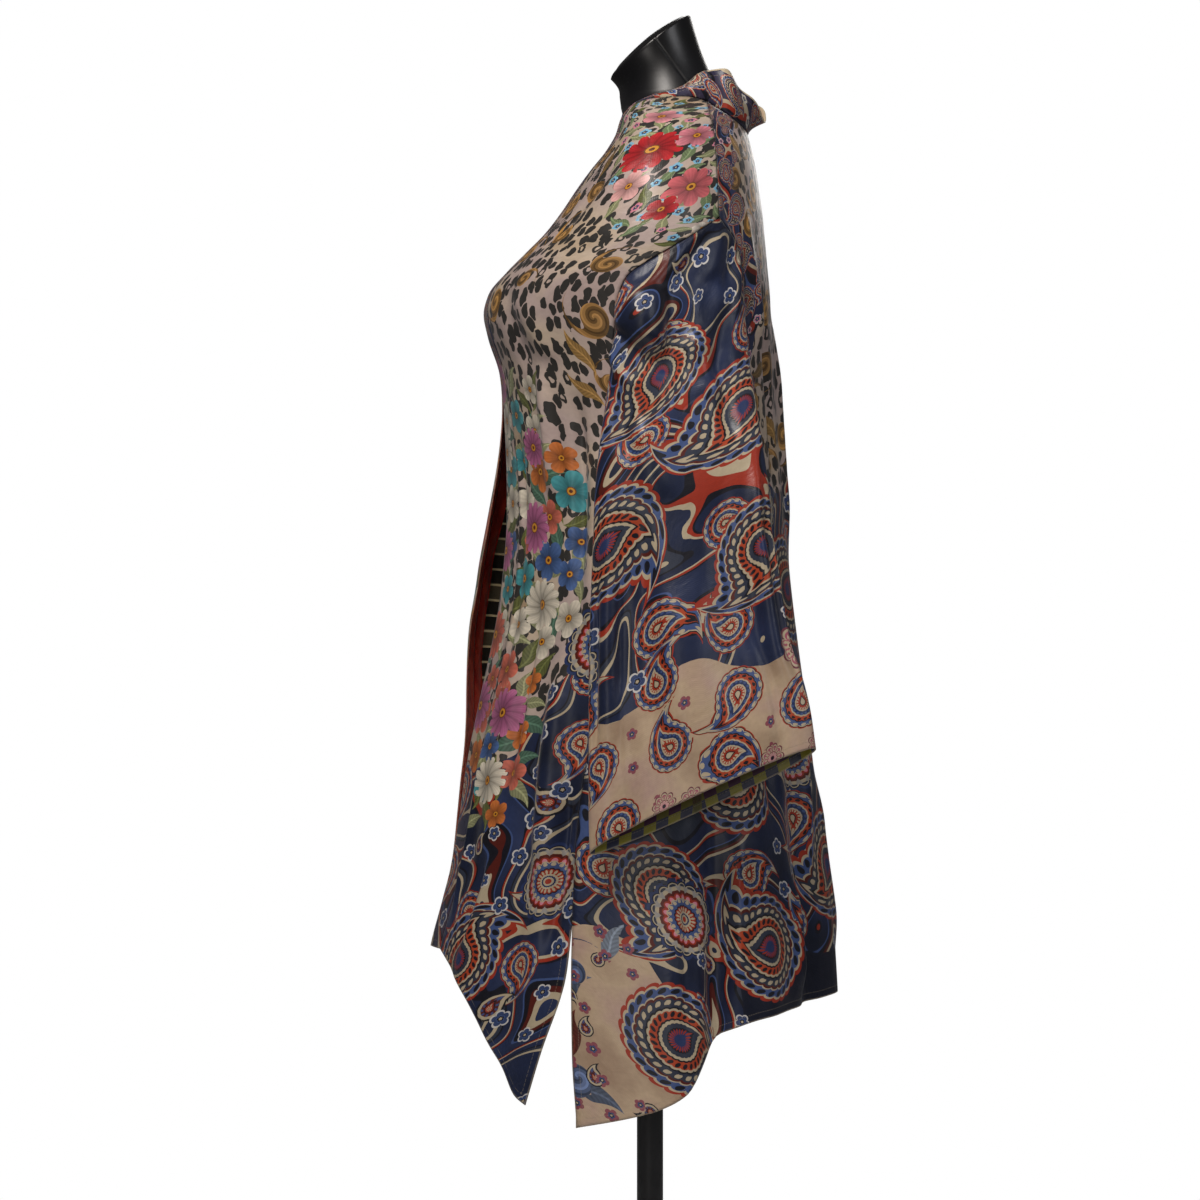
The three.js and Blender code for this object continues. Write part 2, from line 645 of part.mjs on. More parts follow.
// The outward normal at a point of a round grid whose columns run from +X by the front.
function gridNormal(grid, j, k) {
  const columns = grid[0].length;
  const down = grid[Math.min(j + 1, grid.length - 1)][k].clone().sub(grid[Math.max(j - 1, 0)][k]);
  const round = grid[j][(k + 1) % columns].clone().sub(grid[j][(k + columns - 1) % columns]);
  return round.cross(down).normalize();
}

// The same grid on the wearer's right.
function mirrored(grid) {
  const flip = (rows) => rows.map((row) => row.map(({ x, y, z }) => new THREE.Vector3(-x, y, z)));
  return { outer: flip(grid.outer), inner: flip(grid.inner) };
}

// ---- The dress form and its stand ------------------------------------------------------------

const formHalf = curveOf(FORM, "half");
const formFront = curveOf(FORM, "front");
const formBack = curveOf(FORM, "back");

// Over the chest the form fills the cloth, and lower down it has its own, narrower figure.
function formPoint(angle, z) {
  const fitted = clothPoint(angle, z, false).addScaledVector(
    clothNormal(angle, z, false),
    -WALL - REST_GAP,
  );
  const depth = Math.sin(angle) < 0 ? formFront(z) : formBack(z);
  const own = new THREE.Vector3(formHalf(z) * Math.cos(angle), depth * Math.sin(angle), z);
  return own.lerp(fitted, ease((z - FORM_FITS_FROM_Z) / (FORM_FITTED_Z - FORM_FITS_FROM_Z)));
}

// The neck leans forwards, and its top is cut on a slant. t runs from its base to the cut.
function neckPoint(angle, t, inset = 0, lift = 0) {
  const [c, s] = [Math.cos(angle), Math.sin(angle)];
  const base = new THREE.Vector3(
    NECK_BASE.half * c,
    NECK_BASE.middle + NECK_BASE.depth * s,
    NECK_BASE.z,
  );
  const slant = (1 + s * (1 - inset / NECK_TOP.depth)) / 2;
  const top = new THREE.Vector3(
    (NECK_TOP.half - inset) * c,
    NECK_TOP.middle + (NECK_TOP.depth - inset) * s,
    lerp(NECK_TOP.frontZ, NECK_TOP.backZ, slant) - NECK_EDGE + lift,
  );
  const waist = NECK_WAIST * Math.sin(Math.PI * t);
  return base.lerp(top, t).add(new THREE.Vector3(-waist * c, -waist * s, 0));
}

const DOME_HALF_WAY = 0.75 * NECK_DOME;

const neckRoot = (angle) =>
  new THREE.Vector3(
    NECK_ROOT.half * Math.cos(angle),
    NECK_ROOT.middle + NECK_ROOT.depth * Math.sin(angle),
    NECK_ROOT.z,
  );

function form(material) {
  const angles = Array.from({ length: FORM_COLUMNS }, (_, i) => (2 * Math.PI * i) / FORM_COLUMNS);
  const rings = [
    angles.map((angle) => neckPoint(angle, 1, NECK_TOP.depth / 2, NECK_EDGE + DOME_HALF_WAY)),
    angles.map((angle) => neckPoint(angle, 1, NECK_EDGE, NECK_EDGE)),
    angles.map((angle) => neckPoint(angle, 1, 0.3 * NECK_EDGE, 0.7 * NECK_EDGE)), // its round
    ...[1, 2 / 3, 1 / 3, 0].map((t) => angles.map((angle) => neckPoint(angle, t))),
    angles.map((angle) => neckRoot(angle)),
    ...[...FORM_ROWS_Z, FORM_BOTTOM_Z].map((z) => angles.map((angle) => formPoint(angle, z))),
  ];
  return solid(
    "form_torso",
    ({ corner, quad, triangle }) => {
      const rows = rings.map((ring) => ring.map(corner));
      const next = (i) => (i + 1) % FORM_COLUMNS;
      for (let j = 0; j + 1 < rows.length; j++) {
        for (let i = 0; i < FORM_COLUMNS; i++) {
          quad(rows[j][i], rows[j + 1][i], rows[j + 1][next(i)], rows[j][next(i)]);
        }
      }
      const close = (row, ring, flip, lift) => {
        const centre = ring.reduce((sum, p) => sum.add(p), new THREE.Vector3());
        const hub = corner(centre.divideScalar(ring.length).add(new THREE.Vector3(0, 0, lift)));
        for (let i = 0; i < FORM_COLUMNS; i++) {
          const [a, b] = flip ? [next(i), i] : [i, next(i)];
          triangle(hub, row[a], row[b]);
        }
      };
      close(rows[0], rings[0], false, NECK_DOME - DOME_HALF_WAY);
      close(rows.at(-1), rings.at(-1), true, 0);
    },
    material,
  );
}

// A turned piece: profile points (radius, height) from the axis round to the axis.
function turned(name, profile, material) {
  const points = profile.map(([radius, height]) => new THREE.Vector2(radius, height));
  const mesh = new THREE.Mesh(new THREE.LatheGeometry(points, STAND_SIDES), material);
  mesh.geometry.rotateX(Math.PI / 2); // its axis from +Y to +Z
  mesh.name = name;
  return mesh;
}

function stand(material) {
  const bevel = 2;
  const hubWall = 8;
  const poleFillet = 4;
  const hubFoot = BASE_THICKNESS + SEAM_GAP;
  const socketTop = FORM_BOTTOM_Z - SEAM_GAP;
  return [
    turned("stand_base", [
      [0, 0], [BASE_RADIUS - bevel, 0], [BASE_RADIUS, bevel],
      [BASE_RADIUS, BASE_THICKNESS - bevel], [BASE_RADIUS - bevel, BASE_THICKNESS],
      [0, BASE_THICKNESS],
    ], material),
    turned("stand_pole", [
      [0, hubFoot], [HUB_RADIUS, hubFoot], [HUB_RADIUS, hubFoot + hubWall],
      [POLE_RADIUS + poleFillet, HUB_HEIGHT], [POLE_RADIUS, HUB_HEIGHT + poleFillet],
      [POLE_RADIUS, socketTop - SOCKET_HEIGHT],
      [SOCKET_RADIUS, socketTop - SOCKET_HEIGHT + poleFillet],
      [SOCKET_RADIUS, socketTop], [0, socketTop],
    ], material),
  ];
}

// ---- Materials and assembly ------------------------------------------------------------------

const paint = (name, color, roughness, metalness = 0) =>
  new THREE.MeshStandardMaterial({ name, color, roughness, metalness, side: THREE.DoubleSide });

const silkFront = paint("silk_front", 0xb9a890, 0.5);
const silkBack = paint("silk_back", 0x8d8078, 0.5);
const silkSleeve = paint("silk_sleeve", 0x2f3d63, 0.5);
const silkBand = paint("silk_band", 0x6f5b66, 0.5);
const formGloss = paint("form_gloss", 0x0c0c0e, 0.28);
const standMetal = paint("stand_metal", 0x17171a, 0.35, 0.6);

const panels = { left: frontGrid("left"), right: frontGrid("right"), back: backGrid() };
const sleeve = sleeveGrid();

const cardigan = new THREE.Group();
cardigan.add(
  wall("back_panel", panels.back, silkBack),
  wall("front_left", panels.left, silkFront),
  wall("front_right", panels.right, silkFront),
  wall("neckband", bandGrid(panels), silkBand),
  wall("sleeve_left", sleeve, silkSleeve, true),
  wall("sleeve_right", mirrored(sleeve), silkSleeve, true),
  form(formGloss),
  ...stand(standMetal),
);

export default cardigan;
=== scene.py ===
import math

import bpy
import numpy as np
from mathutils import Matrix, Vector


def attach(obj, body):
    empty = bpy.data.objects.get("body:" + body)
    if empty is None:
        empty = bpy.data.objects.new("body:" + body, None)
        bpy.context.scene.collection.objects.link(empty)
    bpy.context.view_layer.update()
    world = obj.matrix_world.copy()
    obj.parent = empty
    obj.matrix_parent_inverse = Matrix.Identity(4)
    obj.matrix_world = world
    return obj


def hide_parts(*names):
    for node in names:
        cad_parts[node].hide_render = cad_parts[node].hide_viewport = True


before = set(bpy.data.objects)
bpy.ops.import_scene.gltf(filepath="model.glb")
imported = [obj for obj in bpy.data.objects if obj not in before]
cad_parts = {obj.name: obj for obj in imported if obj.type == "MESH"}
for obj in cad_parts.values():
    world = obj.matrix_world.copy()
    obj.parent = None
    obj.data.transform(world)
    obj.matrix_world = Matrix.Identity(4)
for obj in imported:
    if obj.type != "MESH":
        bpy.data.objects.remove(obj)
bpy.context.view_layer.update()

MM = 0.001

# ---- The garment's sizes (as in the part's source) ----

THICK = 1.3  # the two layers of silk, as they show
SEAM_GAP = 0.3
REST = 3.8  # wall and gap between the cloth's outside and the form's shoulders
NECK_SIDE_Z, NECK_BACK_Z, NECK_FRONT_Z, NECK_CROWN = 1396, 1366, 1392, 6
SHOULDER_Z, ARMHOLE_TOP_Z, UNDERARM_Z, SLIT_TOP_Z = 1345, 1262, 1000, 540

BODY = [  # z, half width, depth in front, depth behind
    (1404, 70, 30, 84), (1396, 79, 32, 90), (1388, 98, 34, 95), (1378, 124, 37, 100),
    (1364, 151, 39, 105), (1345, 175, 49, 110), (1324, 192, 66, 114), (1302, 204, 82, 117),
    (1281, 212, 96, 120), (1259, 218, 113, 122), (1238, 221, 134, 124), (1217, 221, 155, 126),
    (1195, 219, 173, 128), (1174, 216, 178, 129), (1152, 214, 174, 131), (1110, 208, 161, 133),
    (1060, 203, 156, 136), (1000, 201, 154, 140), (955, 203, 155, 144), (890, 208, 162, 150),
    (826, 215, 174, 157), (761, 223, 189, 165), (694, 231, 203, 172), (640, 237, 210, 177),
    (596, 241, 216, 182), (553, 245, 226, 188), (510, 249, 237, 193), (400, 256, 256, 199),
    (290, 260, 272, 204),
]
# degrees round the body, half width, depth, and the heights where it starts, is full, fades, ends
BODY_FOLDS = [
    (-100, 17, 27, 1110, 900, 860, 690), (-38, 4.5, -9, 1010, 640, 0, -1),
    (-53, 5, 7, 900, 560, 0, -1), (7, 7, 9, 780, 420, 0, -1), (20, 4.5, -22, 860, 430, 0, -1),
    (36, 7, 10, 860, 430, 0, -1), (58, 5, -11, 1060, 480, 0, -1), (74, 6, 8, 1120, 480, 0, -1),
    (97, 5.5, -10, 1160, 480, 0, -1), (121, 6, 9, 1080, 480, 0, -1),
    (143, 5, -12, 980, 450, 0, -1), (162, 6, -18, 860, 430, 0, -1), (177, 7, 10, 800, 420, 0, -1),
    (-141, 5, -10, 980, 620, 0, -1), (-125, 5, 7, 880, 600, 0, -1),
]
ARMHOLE = [  # z, y of the front edge, y of the back edge
    (1262, 69, 69), (1240, 38, 86), (1218, 2, 93), (1198, -27, 96), (1174, -36, 95),
    (1148, -39, 91), (1120, -40, 85), (1088, -39, 74), (1054, -32, 56), (1024, -18, 31),
    (1000, 0, 0),
]
SHOULDER_SEAM = [(1396, 59), (1345, 66), (1262, 69)]
SIDE_SEAM = [(1000, 0), (900, -28), (760, -58), (620, -78), (540, -82)]
SLIT = [(540, -82, -82), (490, -88, -83), (410, -114, -82), (350, -132, -78)]
FRONT_HEM = [(0, 358), (0.1, 367), (0.31, 403), (0.5, 442), (0.69, 477), (0.9, 497), (1, 505)]
BACK_HEM = [
    (0, 338), (0.065, 351), (0.125, 372), (0.16, 406), (0.19, 431), (0.25, 446), (0.37, 454),
    (0.5, 463),
]
EDGE_TOP = [(1392, 76, 62), (1375, 81, 63), (1345, 86, 60), (1302, 83, 49), (1259, 73, 34)]
EDGE = {  # z, x of the sewn edge, x of the free edge
    1: EDGE_TOP + [
        (1217, 62, 22), (1174, 54, 14), (1131, 56, 16), (1090, 64, 24), (1040, 76, 36),
        (940, 94, 54), (826, 106, 66), (694, 106, 66), (553, 96, 56), (490, 92, 52),
    ],
    -1: EDGE_TOP + [
        (1217, 60, 21), (1174, 49, 10), (1131, 45, 6), (1040, 44, 5), (940, 47, 8), (826, 53, 14),
        (694, 66, 27), (553, 88, 49), (490, 92, 53),
    ],
}
NECK_AXIS_Y = 22
ARMHOLE_CENTRE = [0, 25, 1131]
COLLAR = [  # degrees round the neck, free edge's z, lean away from the neck, roll half way up
    (-27, 1397, -12, 0), (-8, 1405, -9, 1), (12, 1413, -7, 2), (28, 1427, -4, 5),
    (42, 1430, -3, 6), (52, 1412, -2, 4), (66, 1400, 12, 0), (86, 1377, 19, -5), (98, 1394, 21, -4),
    (114, 1405, 15, 0), (127, 1409, 0, 3), (138, 1427, -4, 5), (152, 1427, -4, 5),
    (168, 1413, -7, 2), (188, 1405, -9, 1), (207, 1397, -12, 0),
]
SLEEVE = [  # z, front y, back y, inner x, outer x, climb, lift
    (945, -60, 119, 217, 262, 0.0, 0), (900, -62, 126, 221, 267, 0.05, 0),
    (850, -64, 132, 226, 272, 0.13, 1), (800, -65, 139, 232, 277, 0.24, 3),
    (755, -65, 150, 238, 282, 0.34, 5), (710, -65, 158, 243, 286, 0.42, 8),
    (668, -64, 163, 247, 289, 0.46, 10),
]
SLEEVE_FOLDS = [
    (44, 20, 17, 1240, 1160, 1136, 1096), (12, 12, -8, 1225, 1165, 1130, 1030),
    (38, 9, -8, 960, 820, 0, -1), (0, 14, 6, 960, 760, 0, -1), (-38, 10, -9, 1000, 760, 0, -1),
]
FORM = [  # z, half width, depth in front, depth behind
    (1324, 180, 62, 108), (1281, 178, 86, 112), (1250, 168, 110, 116), (1217, 157, 140, 119),
    (1185, 152, 165, 119), (1150, 147, 158, 115), (1100, 138, 124, 104), (1050, 126, 106, 92),
    (1000, 119, 101, 86), (950, 128, 106, 94), (890, 152, 112, 112), (820, 168, 112, 126),
    (760, 166, 104, 122), (716, 152, 92, 106), (700, 136, 78, 92),
]

# ---- Creases: from (degrees, z) to (degrees, z), half width and depth in mm ----

BODY_CREASES = [
    # the wearer's left front, from the shoulder and the bust
    (-14, 1330, -40, 1262, 9, 2.2), (-30, 1338, -58, 1226, 8, -2.0), (-6, 1300, -30, 1205, 9, -2.4),
    (-62, 1216, -50, 1096, 12, -1.3), (-52, 1190, -38, 1110, 11, 0.9), (-46, 1120, -40, 960, 9, 2.4),
    (-30, 1100, -28, 860, 8, -3.0), (-20, 1060, -22, 800, 10, 2.6), (-64, 1060, -58, 780, 8, -2.4),
    (-46, 900, -48, 640, 7, -3.2), (-30, 820, -32, 560, 10, 3.4), (-60, 760, -66, 520, 7, 2.6),
    (-24, 700, -28, 480, 6, -2.8), (-72, 960, -70, 700, 7, 2.2), (-52, 620, -58, 500, 6, -2.2),
    # the back's left side and the skirt
    (30, 1330, 46, 1230, 8, -2.0), (52, 1300, 60, 1120, 9, 2.2), (64, 1210, 70, 960, 8, -2.6),
    (28, 980, 30, 760, 8, 2.2), (44, 900, 46, 620, 8, -2.8), (66, 860, 64, 560, 9, 3.0),
    (30, 640, 26, 440, 6, 2.4), (50, 600, 52, 450, 7, 2.6), (12, 640, 10, 400, 7, -2.4),
    (84, 1180, 86, 900, 8, 2.0), (88, 820, 84, 520, 8, -2.6), (78, 700, 80, 480, 6, 2.0),
    # the right half, of the same kind and uneven in its own way
    (106, 1200, 102, 930, 8, -2.2), (112, 880, 108, 600, 9, 2.8), (132, 1290, 120, 1090, 9, 2.0),
    (128, 940, 132, 650, 8, -2.8), (148, 900, 146, 640, 8, 2.4), (152, 700, 156, 470, 7, -2.4),
    (168, 640, 170, 420, 7, 2.6), (136, 600, 132, 460, 6, 2.2), (144, 1320, 132, 1240, 8, -1.8),
    (-166, 1330, -142, 1256, 9, 2.0), (-150, 1338, -124, 1220, 8, -2.2),
    (-172, 1300, -150, 1200, 9, -2.0), (-120, 1216, -132, 1096, 12, -1.2),
    (-128, 1190, -142, 1110, 11, 0.9), (-150, 1100, -152, 880, 8, -2.6),
    (-134, 1090, -138, 900, 8, 2.2), (-160, 1040, -158, 780, 9, 2.4), (-132, 860, -130, 640, 7, -2.8),
    (-152, 800, -148, 560, 9, 3.0), (-118, 760, -114, 540, 7, 2.4), (-158, 700, -152, 480, 6, -2.6),
    (-110, 980, -112, 740, 7, 2.0),
]
SLEEVE_CREASES = [
    # gathers that run down and out from the sleeve's head
    (-16, 1256, -10, 1180, 5, -2.6), (-4, 1260, 4, 1190, 4, 2.0), (8, 1258, 20, 1176, 5, -2.4),
    (20, 1248, 36, 1186, 4, 2.2), (30, 1236, 52, 1172, 5, -2.2), (-30, 1236, -22, 1150, 5, 1.8),
    # the fold that hangs from the corner of the shoulder's seam, and its neighbours
    (4, 1256, 26, 1186, 6, -3.4), (28, 1206, 15, 1106, 6, -3.6), (44, 1204, 34, 1112, 8, 2.6),
    (14, 1200, 1, 1106, 8, 2.6), (-14, 1180, -6, 1080, 7, -2.4),
    # the pouch over the elbow, and the drags below it
    (66, 1152, 18, 1096, 8, -3.6), (50, 1192, 36, 1140, 12, 1.0),
    (74, 1128, 34, 1076, 6, 2.2), (10, 1150, -16, 1060, 8, 3.0),
    (-8, 1130, -30, 1020, 8, -3.0), (58, 1090, 30, 1000, 8, -2.6), (34, 1060, 8, 960, 9, 2.8),
    # long hanging folds
    (52, 1010, 50, 700, 9, 3.0), (24, 980, 20, 720, 8, -3.4), (4, 900, 4, 690, 8, 2.8),
    (-20, 1010, -18, 730, 9, -3.4), (-52, 1040, -54, 760, 8, 3.0), (66, 900, 70, 680, 6, -2.4),
    (-70, 980, -72, 780, 7, -2.6), (36, 800, 38, 660, 6, 2.0), (-34, 840, -34, 700, 7, 2.4),
    # the layer beside the body
    (120, 960, 124, 700, 9, 2.4), (160, 980, 156, 720, 9, -2.6), (200, 960, 204, 740, 9, 2.4),
    (236, 940, 232, 760, 8, -2.2),
]


# ---- Curves and surfaces ----


def curve(rows, column=1):
    """A monotone cubic through a table's rows."""
    points = sorted((row[0], row[column]) for row in rows)
    x, y = (np.array(values, float) for values in zip(*points))
    secant = np.diff(y) / np.diff(x)
    before, after = np.r_[secant[0], secant], np.r_[secant, secant[-1]]
    total = np.where(before + after == 0, 1, before + after)
    slope = np.where(before * after <= 0, 0, 2 * before * after / total)

    def at(value):
        value = np.clip(value, x[0], x[-1])
        i = np.clip(np.searchsorted(x, value) - 1, 0, len(x) - 2)
        w = x[i + 1] - x[i]
        t = (value - x[i]) / w
        return (
            y[i] * (1 + 2 * t) * (1 - t) ** 2
            + slope[i] * w * t * (1 - t) ** 2
            + y[i + 1] * t * t * (3 - 2 * t)
            + slope[i + 1] * w * t * t * (t - 1)
        )

    return at


def ease(t):
    t = np.clip(t, 0, 1)
    return t * t * (3 - 2 * t)


def lerp(a, b, t):
    return a + (b - a) * t


def unit(v):
    return v / np.maximum(np.linalg.norm(v, axis=-1, keepdims=True), 1e-9)


def xyz(x, y, z):
    return np.stack(np.broadcast_arrays(x, y, z), -1)


def apart(degrees, at):
    """How far round a place is, from -180 to 180 degrees."""
    return (degrees - at + 540) % 360 - 180


def fold_depth(folds, degrees, z):
    """The hanging folds' depth, as in the part's source."""
    depth = np.zeros(np.broadcast(degrees, z).shape)
    for at, wide, deep, start, full, fade, gone in folds:
        share = ease((start - z) / (start - full))
        if gone >= 0:
            share = share * ease((z - gone) / (fade - gone))
        depth += deep * share * np.exp(-((apart(degrees, at) / wide) ** 2))
    return depth


# creases lie softer on the shoulders than below the chest, where the cloth hangs
SOFT, DEEPER, CHEST_Z, CHEST_FADE = 1.5, 2.1, 1250, 90
CREASE_WIDTH, CREASE_END = 1.3, 0.3


def creased(creases, degrees, z, per_degree):
    """The creases' depth: soft troughs and ridges that die out at both ends."""
    depth = np.zeros(np.broadcast(degrees, z).shape)
    for a0, z0, a1, z1, wide, deep in creases:
        t = (z0 - z) / (z0 - z1)
        off = apart(degrees, lerp(a0, a1, np.clip(t, 0, 1))) * per_degree
        slant = math.hypot((a1 - a0) * per_degree, z1 - z0) / abs(z1 - z0)
        ends = ease(t / CREASE_END) * ease((1 - t) / CREASE_END)
        depth += deep * ends * np.exp(-((off / (CREASE_WIDTH * wide * slant)) ** 2))
    return depth * (SOFT + DEEPER * ease((CHEST_Z - z) / CHEST_FADE))


body_half, body_front, body_back = (curve(BODY, k) for k in (1, 2, 3))


def cloth(angle, z, folded=True):
    """The garment's outside at an angle round the body, with its hanging folds."""
    depth = np.where(np.sin(angle) < 0, body_front(z), body_back(z))
    x, y = body_half(z) * np.cos(angle), depth * np.sin(angle)
    grow = 1.0
    if folded:
        grow = 1 + fold_depth(BODY_FOLDS, np.degrees(angle), z) / np.hypot(x, y)
    return xyz(x * grow, y * grow, z)


def angle_at_y(y, z):
    return np.arcsin(np.clip(y / np.where(y < 0, body_front(z), body_back(z)), -1, 1))


shoulder_y, side_y = curve(SHOULDER_SEAM), curve(SIDE_SEAM)
armhole_y = {"front": curve(ARMHOLE, 1), "back": curve(ARMHOLE, 2)}
slit_y = {"front": curve(SLIT, 1), "back": curve(SLIT, 2)}
front_hem, back_hem = curve(FRONT_HEM), curve(BACK_HEM)


def side_angle(panel, z):
    y = np.where(z >= SLIT_TOP_Z, side_y(z), slit_y[panel](z))
    y = np.where(z > UNDERARM_Z, armhole_y[panel](z), y)
    y = np.where(z >= ARMHOLE_TOP_Z, shoulder_y(z), y)
    return angle_at_y(y, z)


def edge_angle(side, column, z):
    return -np.arccos(np.clip(curve(EDGE[side], column)(z) / body_half(z), 0, 1))


def half_gap(z):
    return SEAM_GAP / 2 / body_front(z)


def normals(grid, out_from, around=False):
    """Unit normals of a grid of points, facing away from out_from."""
    if around:
        wrapped = np.concatenate([grid[:, -1:], grid, grid[:, :1]], 1)
        across = (wrapped[:, 2:] - wrapped[:, :-2]) / 2
    else:
        across = np.gradient(grid, axis=1)
    n = unit(np.cross(np.gradient(grid, axis=0), across))
    return n * np.sign(np.sum(n * (grid - out_from), -1).mean())


def chart(grid, start_row, start_value, around=False):
    """Where each point lies on the flat cut: distance along its row from column 0, and up its
    column from the start row."""
    across = np.linalg.norm(np.diff(grid, axis=1), axis=-1)
    u = np.concatenate([np.zeros((len(grid), 1)), np.cumsum(across, 1)], 1)
    down = np.linalg.norm(np.diff(grid, axis=0), axis=-1)
    v = np.concatenate([np.zeros((1, grid.shape[1])), np.cumsum(down, 0)], 0)
    return u, start_value + v[start_row] - v


# ---- Grids of the five kinds of cloth ----

NECK_STEPS, HEM_STEPS, LEVEL_STEPS = 13, 52, 226
BACK_COLUMNS, FRONT_COLUMNS, BAND_COLUMNS = 164, 92, 14
SLEEVE_COLUMNS, ELBOW_STEPS, HANG_STEPS = 150, 104, 88
SOFT_ROWS, SOFT_SPREAD = 12, 4.0  # rows over which the band's turn is smoothed


def column_heights(top, hem):
    """Heights of the columns' points, from their top edges to their hems."""
    neck = lerp(top, SHOULDER_Z, np.arange(NECK_STEPS)[:, None] / NECK_STEPS)
    level = lerp(SHOULDER_Z, SLIT_TOP_Z, np.arange(LEVEL_STEPS + 1)[:, None] / LEVEL_STEPS)
    below = lerp(SLIT_TOP_Z, hem, np.arange(1, HEM_STEPS + 1)[:, None] / HEM_STEPS)
    return np.concatenate([neck, level + 0 * top, below], 0)


def front_panel(side):
    u = np.linspace(0, 1, FRONT_COLUMNS + 1)[None]
    top = lerp(NECK_SIDE_Z, NECK_FRONT_Z, u) + NECK_CROWN * np.sin(np.pi * u)
    z = column_heights(top, front_hem(u))
    start = side_angle("front", z) - half_gap(z)
    end = edge_angle(side, 1, z) + half_gap(z)
    angle = lerp(start, end, u)
    return (angle if side > 0 else np.pi - angle), z


def back_panel():
    u = np.linspace(0, 1, BACK_COLUMNS + 1)[None]
    top = lerp(NECK_BACK_Z, NECK_SIDE_Z, (2 * abs(u - 0.5)) ** 2)
    z = column_heights(top, back_hem(np.minimum(u, 1 - u)))
    start = side_angle("back", z) + half_gap(z)
    return lerp(start, np.pi - start, u), z


def on_neck(sewn):
    """Points across the band where it stands round the neck, over points of the neckline."""
    away = unit((sewn - [0, NECK_AXIS_Y, 0]) * [1, 1, 0])
    turned = np.degrees(np.arctan2(away[:, 1], away[:, 0]))
    turned = np.where(turned < -90, turned + 360, turned)
    free = sewn + away * curve(COLLAR, 2)(turned)[:, None]
    free[:, 2] = curve(COLLAR, 1)(turned)
    start = sewn + unit(free - sewn) * SEAM_GAP
    t = np.linspace(0, 1, BAND_COLUMNS + 1)
    rolled = curve(COLLAR, 3)(turned)[:, None] * np.sin(np.pi * t)
    points = lerp(start[:, None], free[:, None], t[:, None])
    return points + away[:, None] * rolled[..., None]


def band_grid(panels):
    """The band from hem to hem, sewn to the left front, the back (panel 0) and the right front."""
    rows = []
    for side in (1, -1):
        z = panels[side][:, -1, 2][:, None]
        start = edge_angle(side, 1, z) - half_gap(z)
        angle = lerp(start, edge_angle(side, 2, z), np.linspace(0, 1, BAND_COLUMNS + 1))
        rows.append(cloth(angle if side > 0 else np.pi - angle, z))
    neckline = np.concatenate([panels[1][0, 1:-1][::-1], panels[0][0], panels[-1][0, 1:-1]])
    grid = np.concatenate([rows[0][::-1], on_neck(neckline), rows[1]])
    # It turns from the chest to the neck over a few centimetres, not at one point.
    offset = grid - grid[:, :1]
    kernel = np.exp(-0.5 * (np.arange(-SOFT_ROWS, SOFT_ROWS + 1) / SOFT_SPREAD) ** 2)
    kernel /= kernel.sum()
    padded = np.pad(offset, ((SOFT_ROWS, SOFT_ROWS), (0, 0), (0, 0)), "edge")
    soft = sum(w * padded[i:i + len(offset)] for i, w in enumerate(kernel))
    return grid[:, :1] + soft


def squared(value):
    """A circle's sine or cosine, drawn out towards a square's."""
    return np.sign(value) * abs(value) ** 0.8


def sleeve_point(degrees, z):
    front, back, near, far, climb, lift = (curve(SLEEVE, k)(z) for k in range(1, 7))
    c, s = np.cos(np.radians(degrees)), np.sin(np.radians(degrees))
    y = (front + back) / 2 - (back - front) / 2 * squared(s)
    x = (near + far) / 2 + (far - near) / 2 * squared(c)
    return xyz(x, y, z + climb * (y - (front + back) / 2) + lift * c)


def sleeve_grid():
    """The sleeve from the armhole over the elbow, where rings are blended, to the hanging cuff."""
    k = np.arange(SLEEVE_COLUMNS)
    degrees = 360 * k / SLEEVE_COLUMNS
    last = len(ARMHOLE) - 1
    place = 2 * last * k / SLEEVE_COLUMNS  # along the armhole's rows, down the front and up the back
    z = np.interp(np.minimum(place, 2 * last - place), range(last + 1), [row[0] for row in ARMHOLE])
    y = np.where(place <= last, armhole_y["front"](z), armhole_y["back"](z))
    ring = cloth(angle_at_y(y, z), z)
    ring += 2 * SEAM_GAP * unit((ARMHOLE_CENTRE - ring) * [0, 1, 1])
    end = sleeve_point(degrees, SLEEVE[0][0])
    drop = ring[:, 2] - end[:, 2]
    upper = (1 + np.cos(np.radians(degrees))) / 2
    leave = xyz(lerp(70, 50, upper), 0, -lerp(0.2, 0.9, upper) * drop)
    arrive = xyz(0, 0, -lerp(1.2, 1, upper) * drop)
    t = (np.arange(ELBOW_STEPS) / ELBOW_STEPS)[:, None, None]
    elbow = (
        ring * (1 + 2 * t) * (1 - t) ** 2 + leave * t * (1 - t) ** 2
        + end * t * t * (3 - 2 * t) + arrive * t * t * (t - 1)
    )
    heights = np.linspace(SLEEVE[0][0], SLEEVE[-1][0], HANG_STEPS + 1)[:, None]
    return np.concatenate([elbow, sleeve_point(degrees, heights)]), degrees


# ---- Meshes ----


def mesh_object(name, points, faces, material):
    mesh = bpy.data.meshes.new(name)
    mesh.vertices.add(len(points))
    mesh.vertices.foreach_set("co", np.ascontiguousarray(points, np.float32).ravel())
    mesh.loops.add(faces.size)
    mesh.loops.foreach_set("vertex_index", np.ascontiguousarray(faces, np.int32).ravel())
    mesh.polygons.add(len(faces))
    mesh.polygons.foreach_set("loop_start", np.arange(0, faces.size, faces.shape[1], np.int32))
    mesh.update(calc_edges=True)
    mesh.shade_smooth()
    mesh.materials.append(material)
    made = bpy.data.objects.new(name, mesh)
    bpy.context.scene.collection.objects.link(made)
    return made


def attribute(made, name, kind, domain, values):
    layer = made.data.attributes.new(name, kind, domain)
    field = {"FLOAT_VECTOR": "vector", "FLOAT_COLOR": "color"}[kind]
    layer.data.foreach_set(field, np.ascontiguousarray(values, np.float32).ravel())


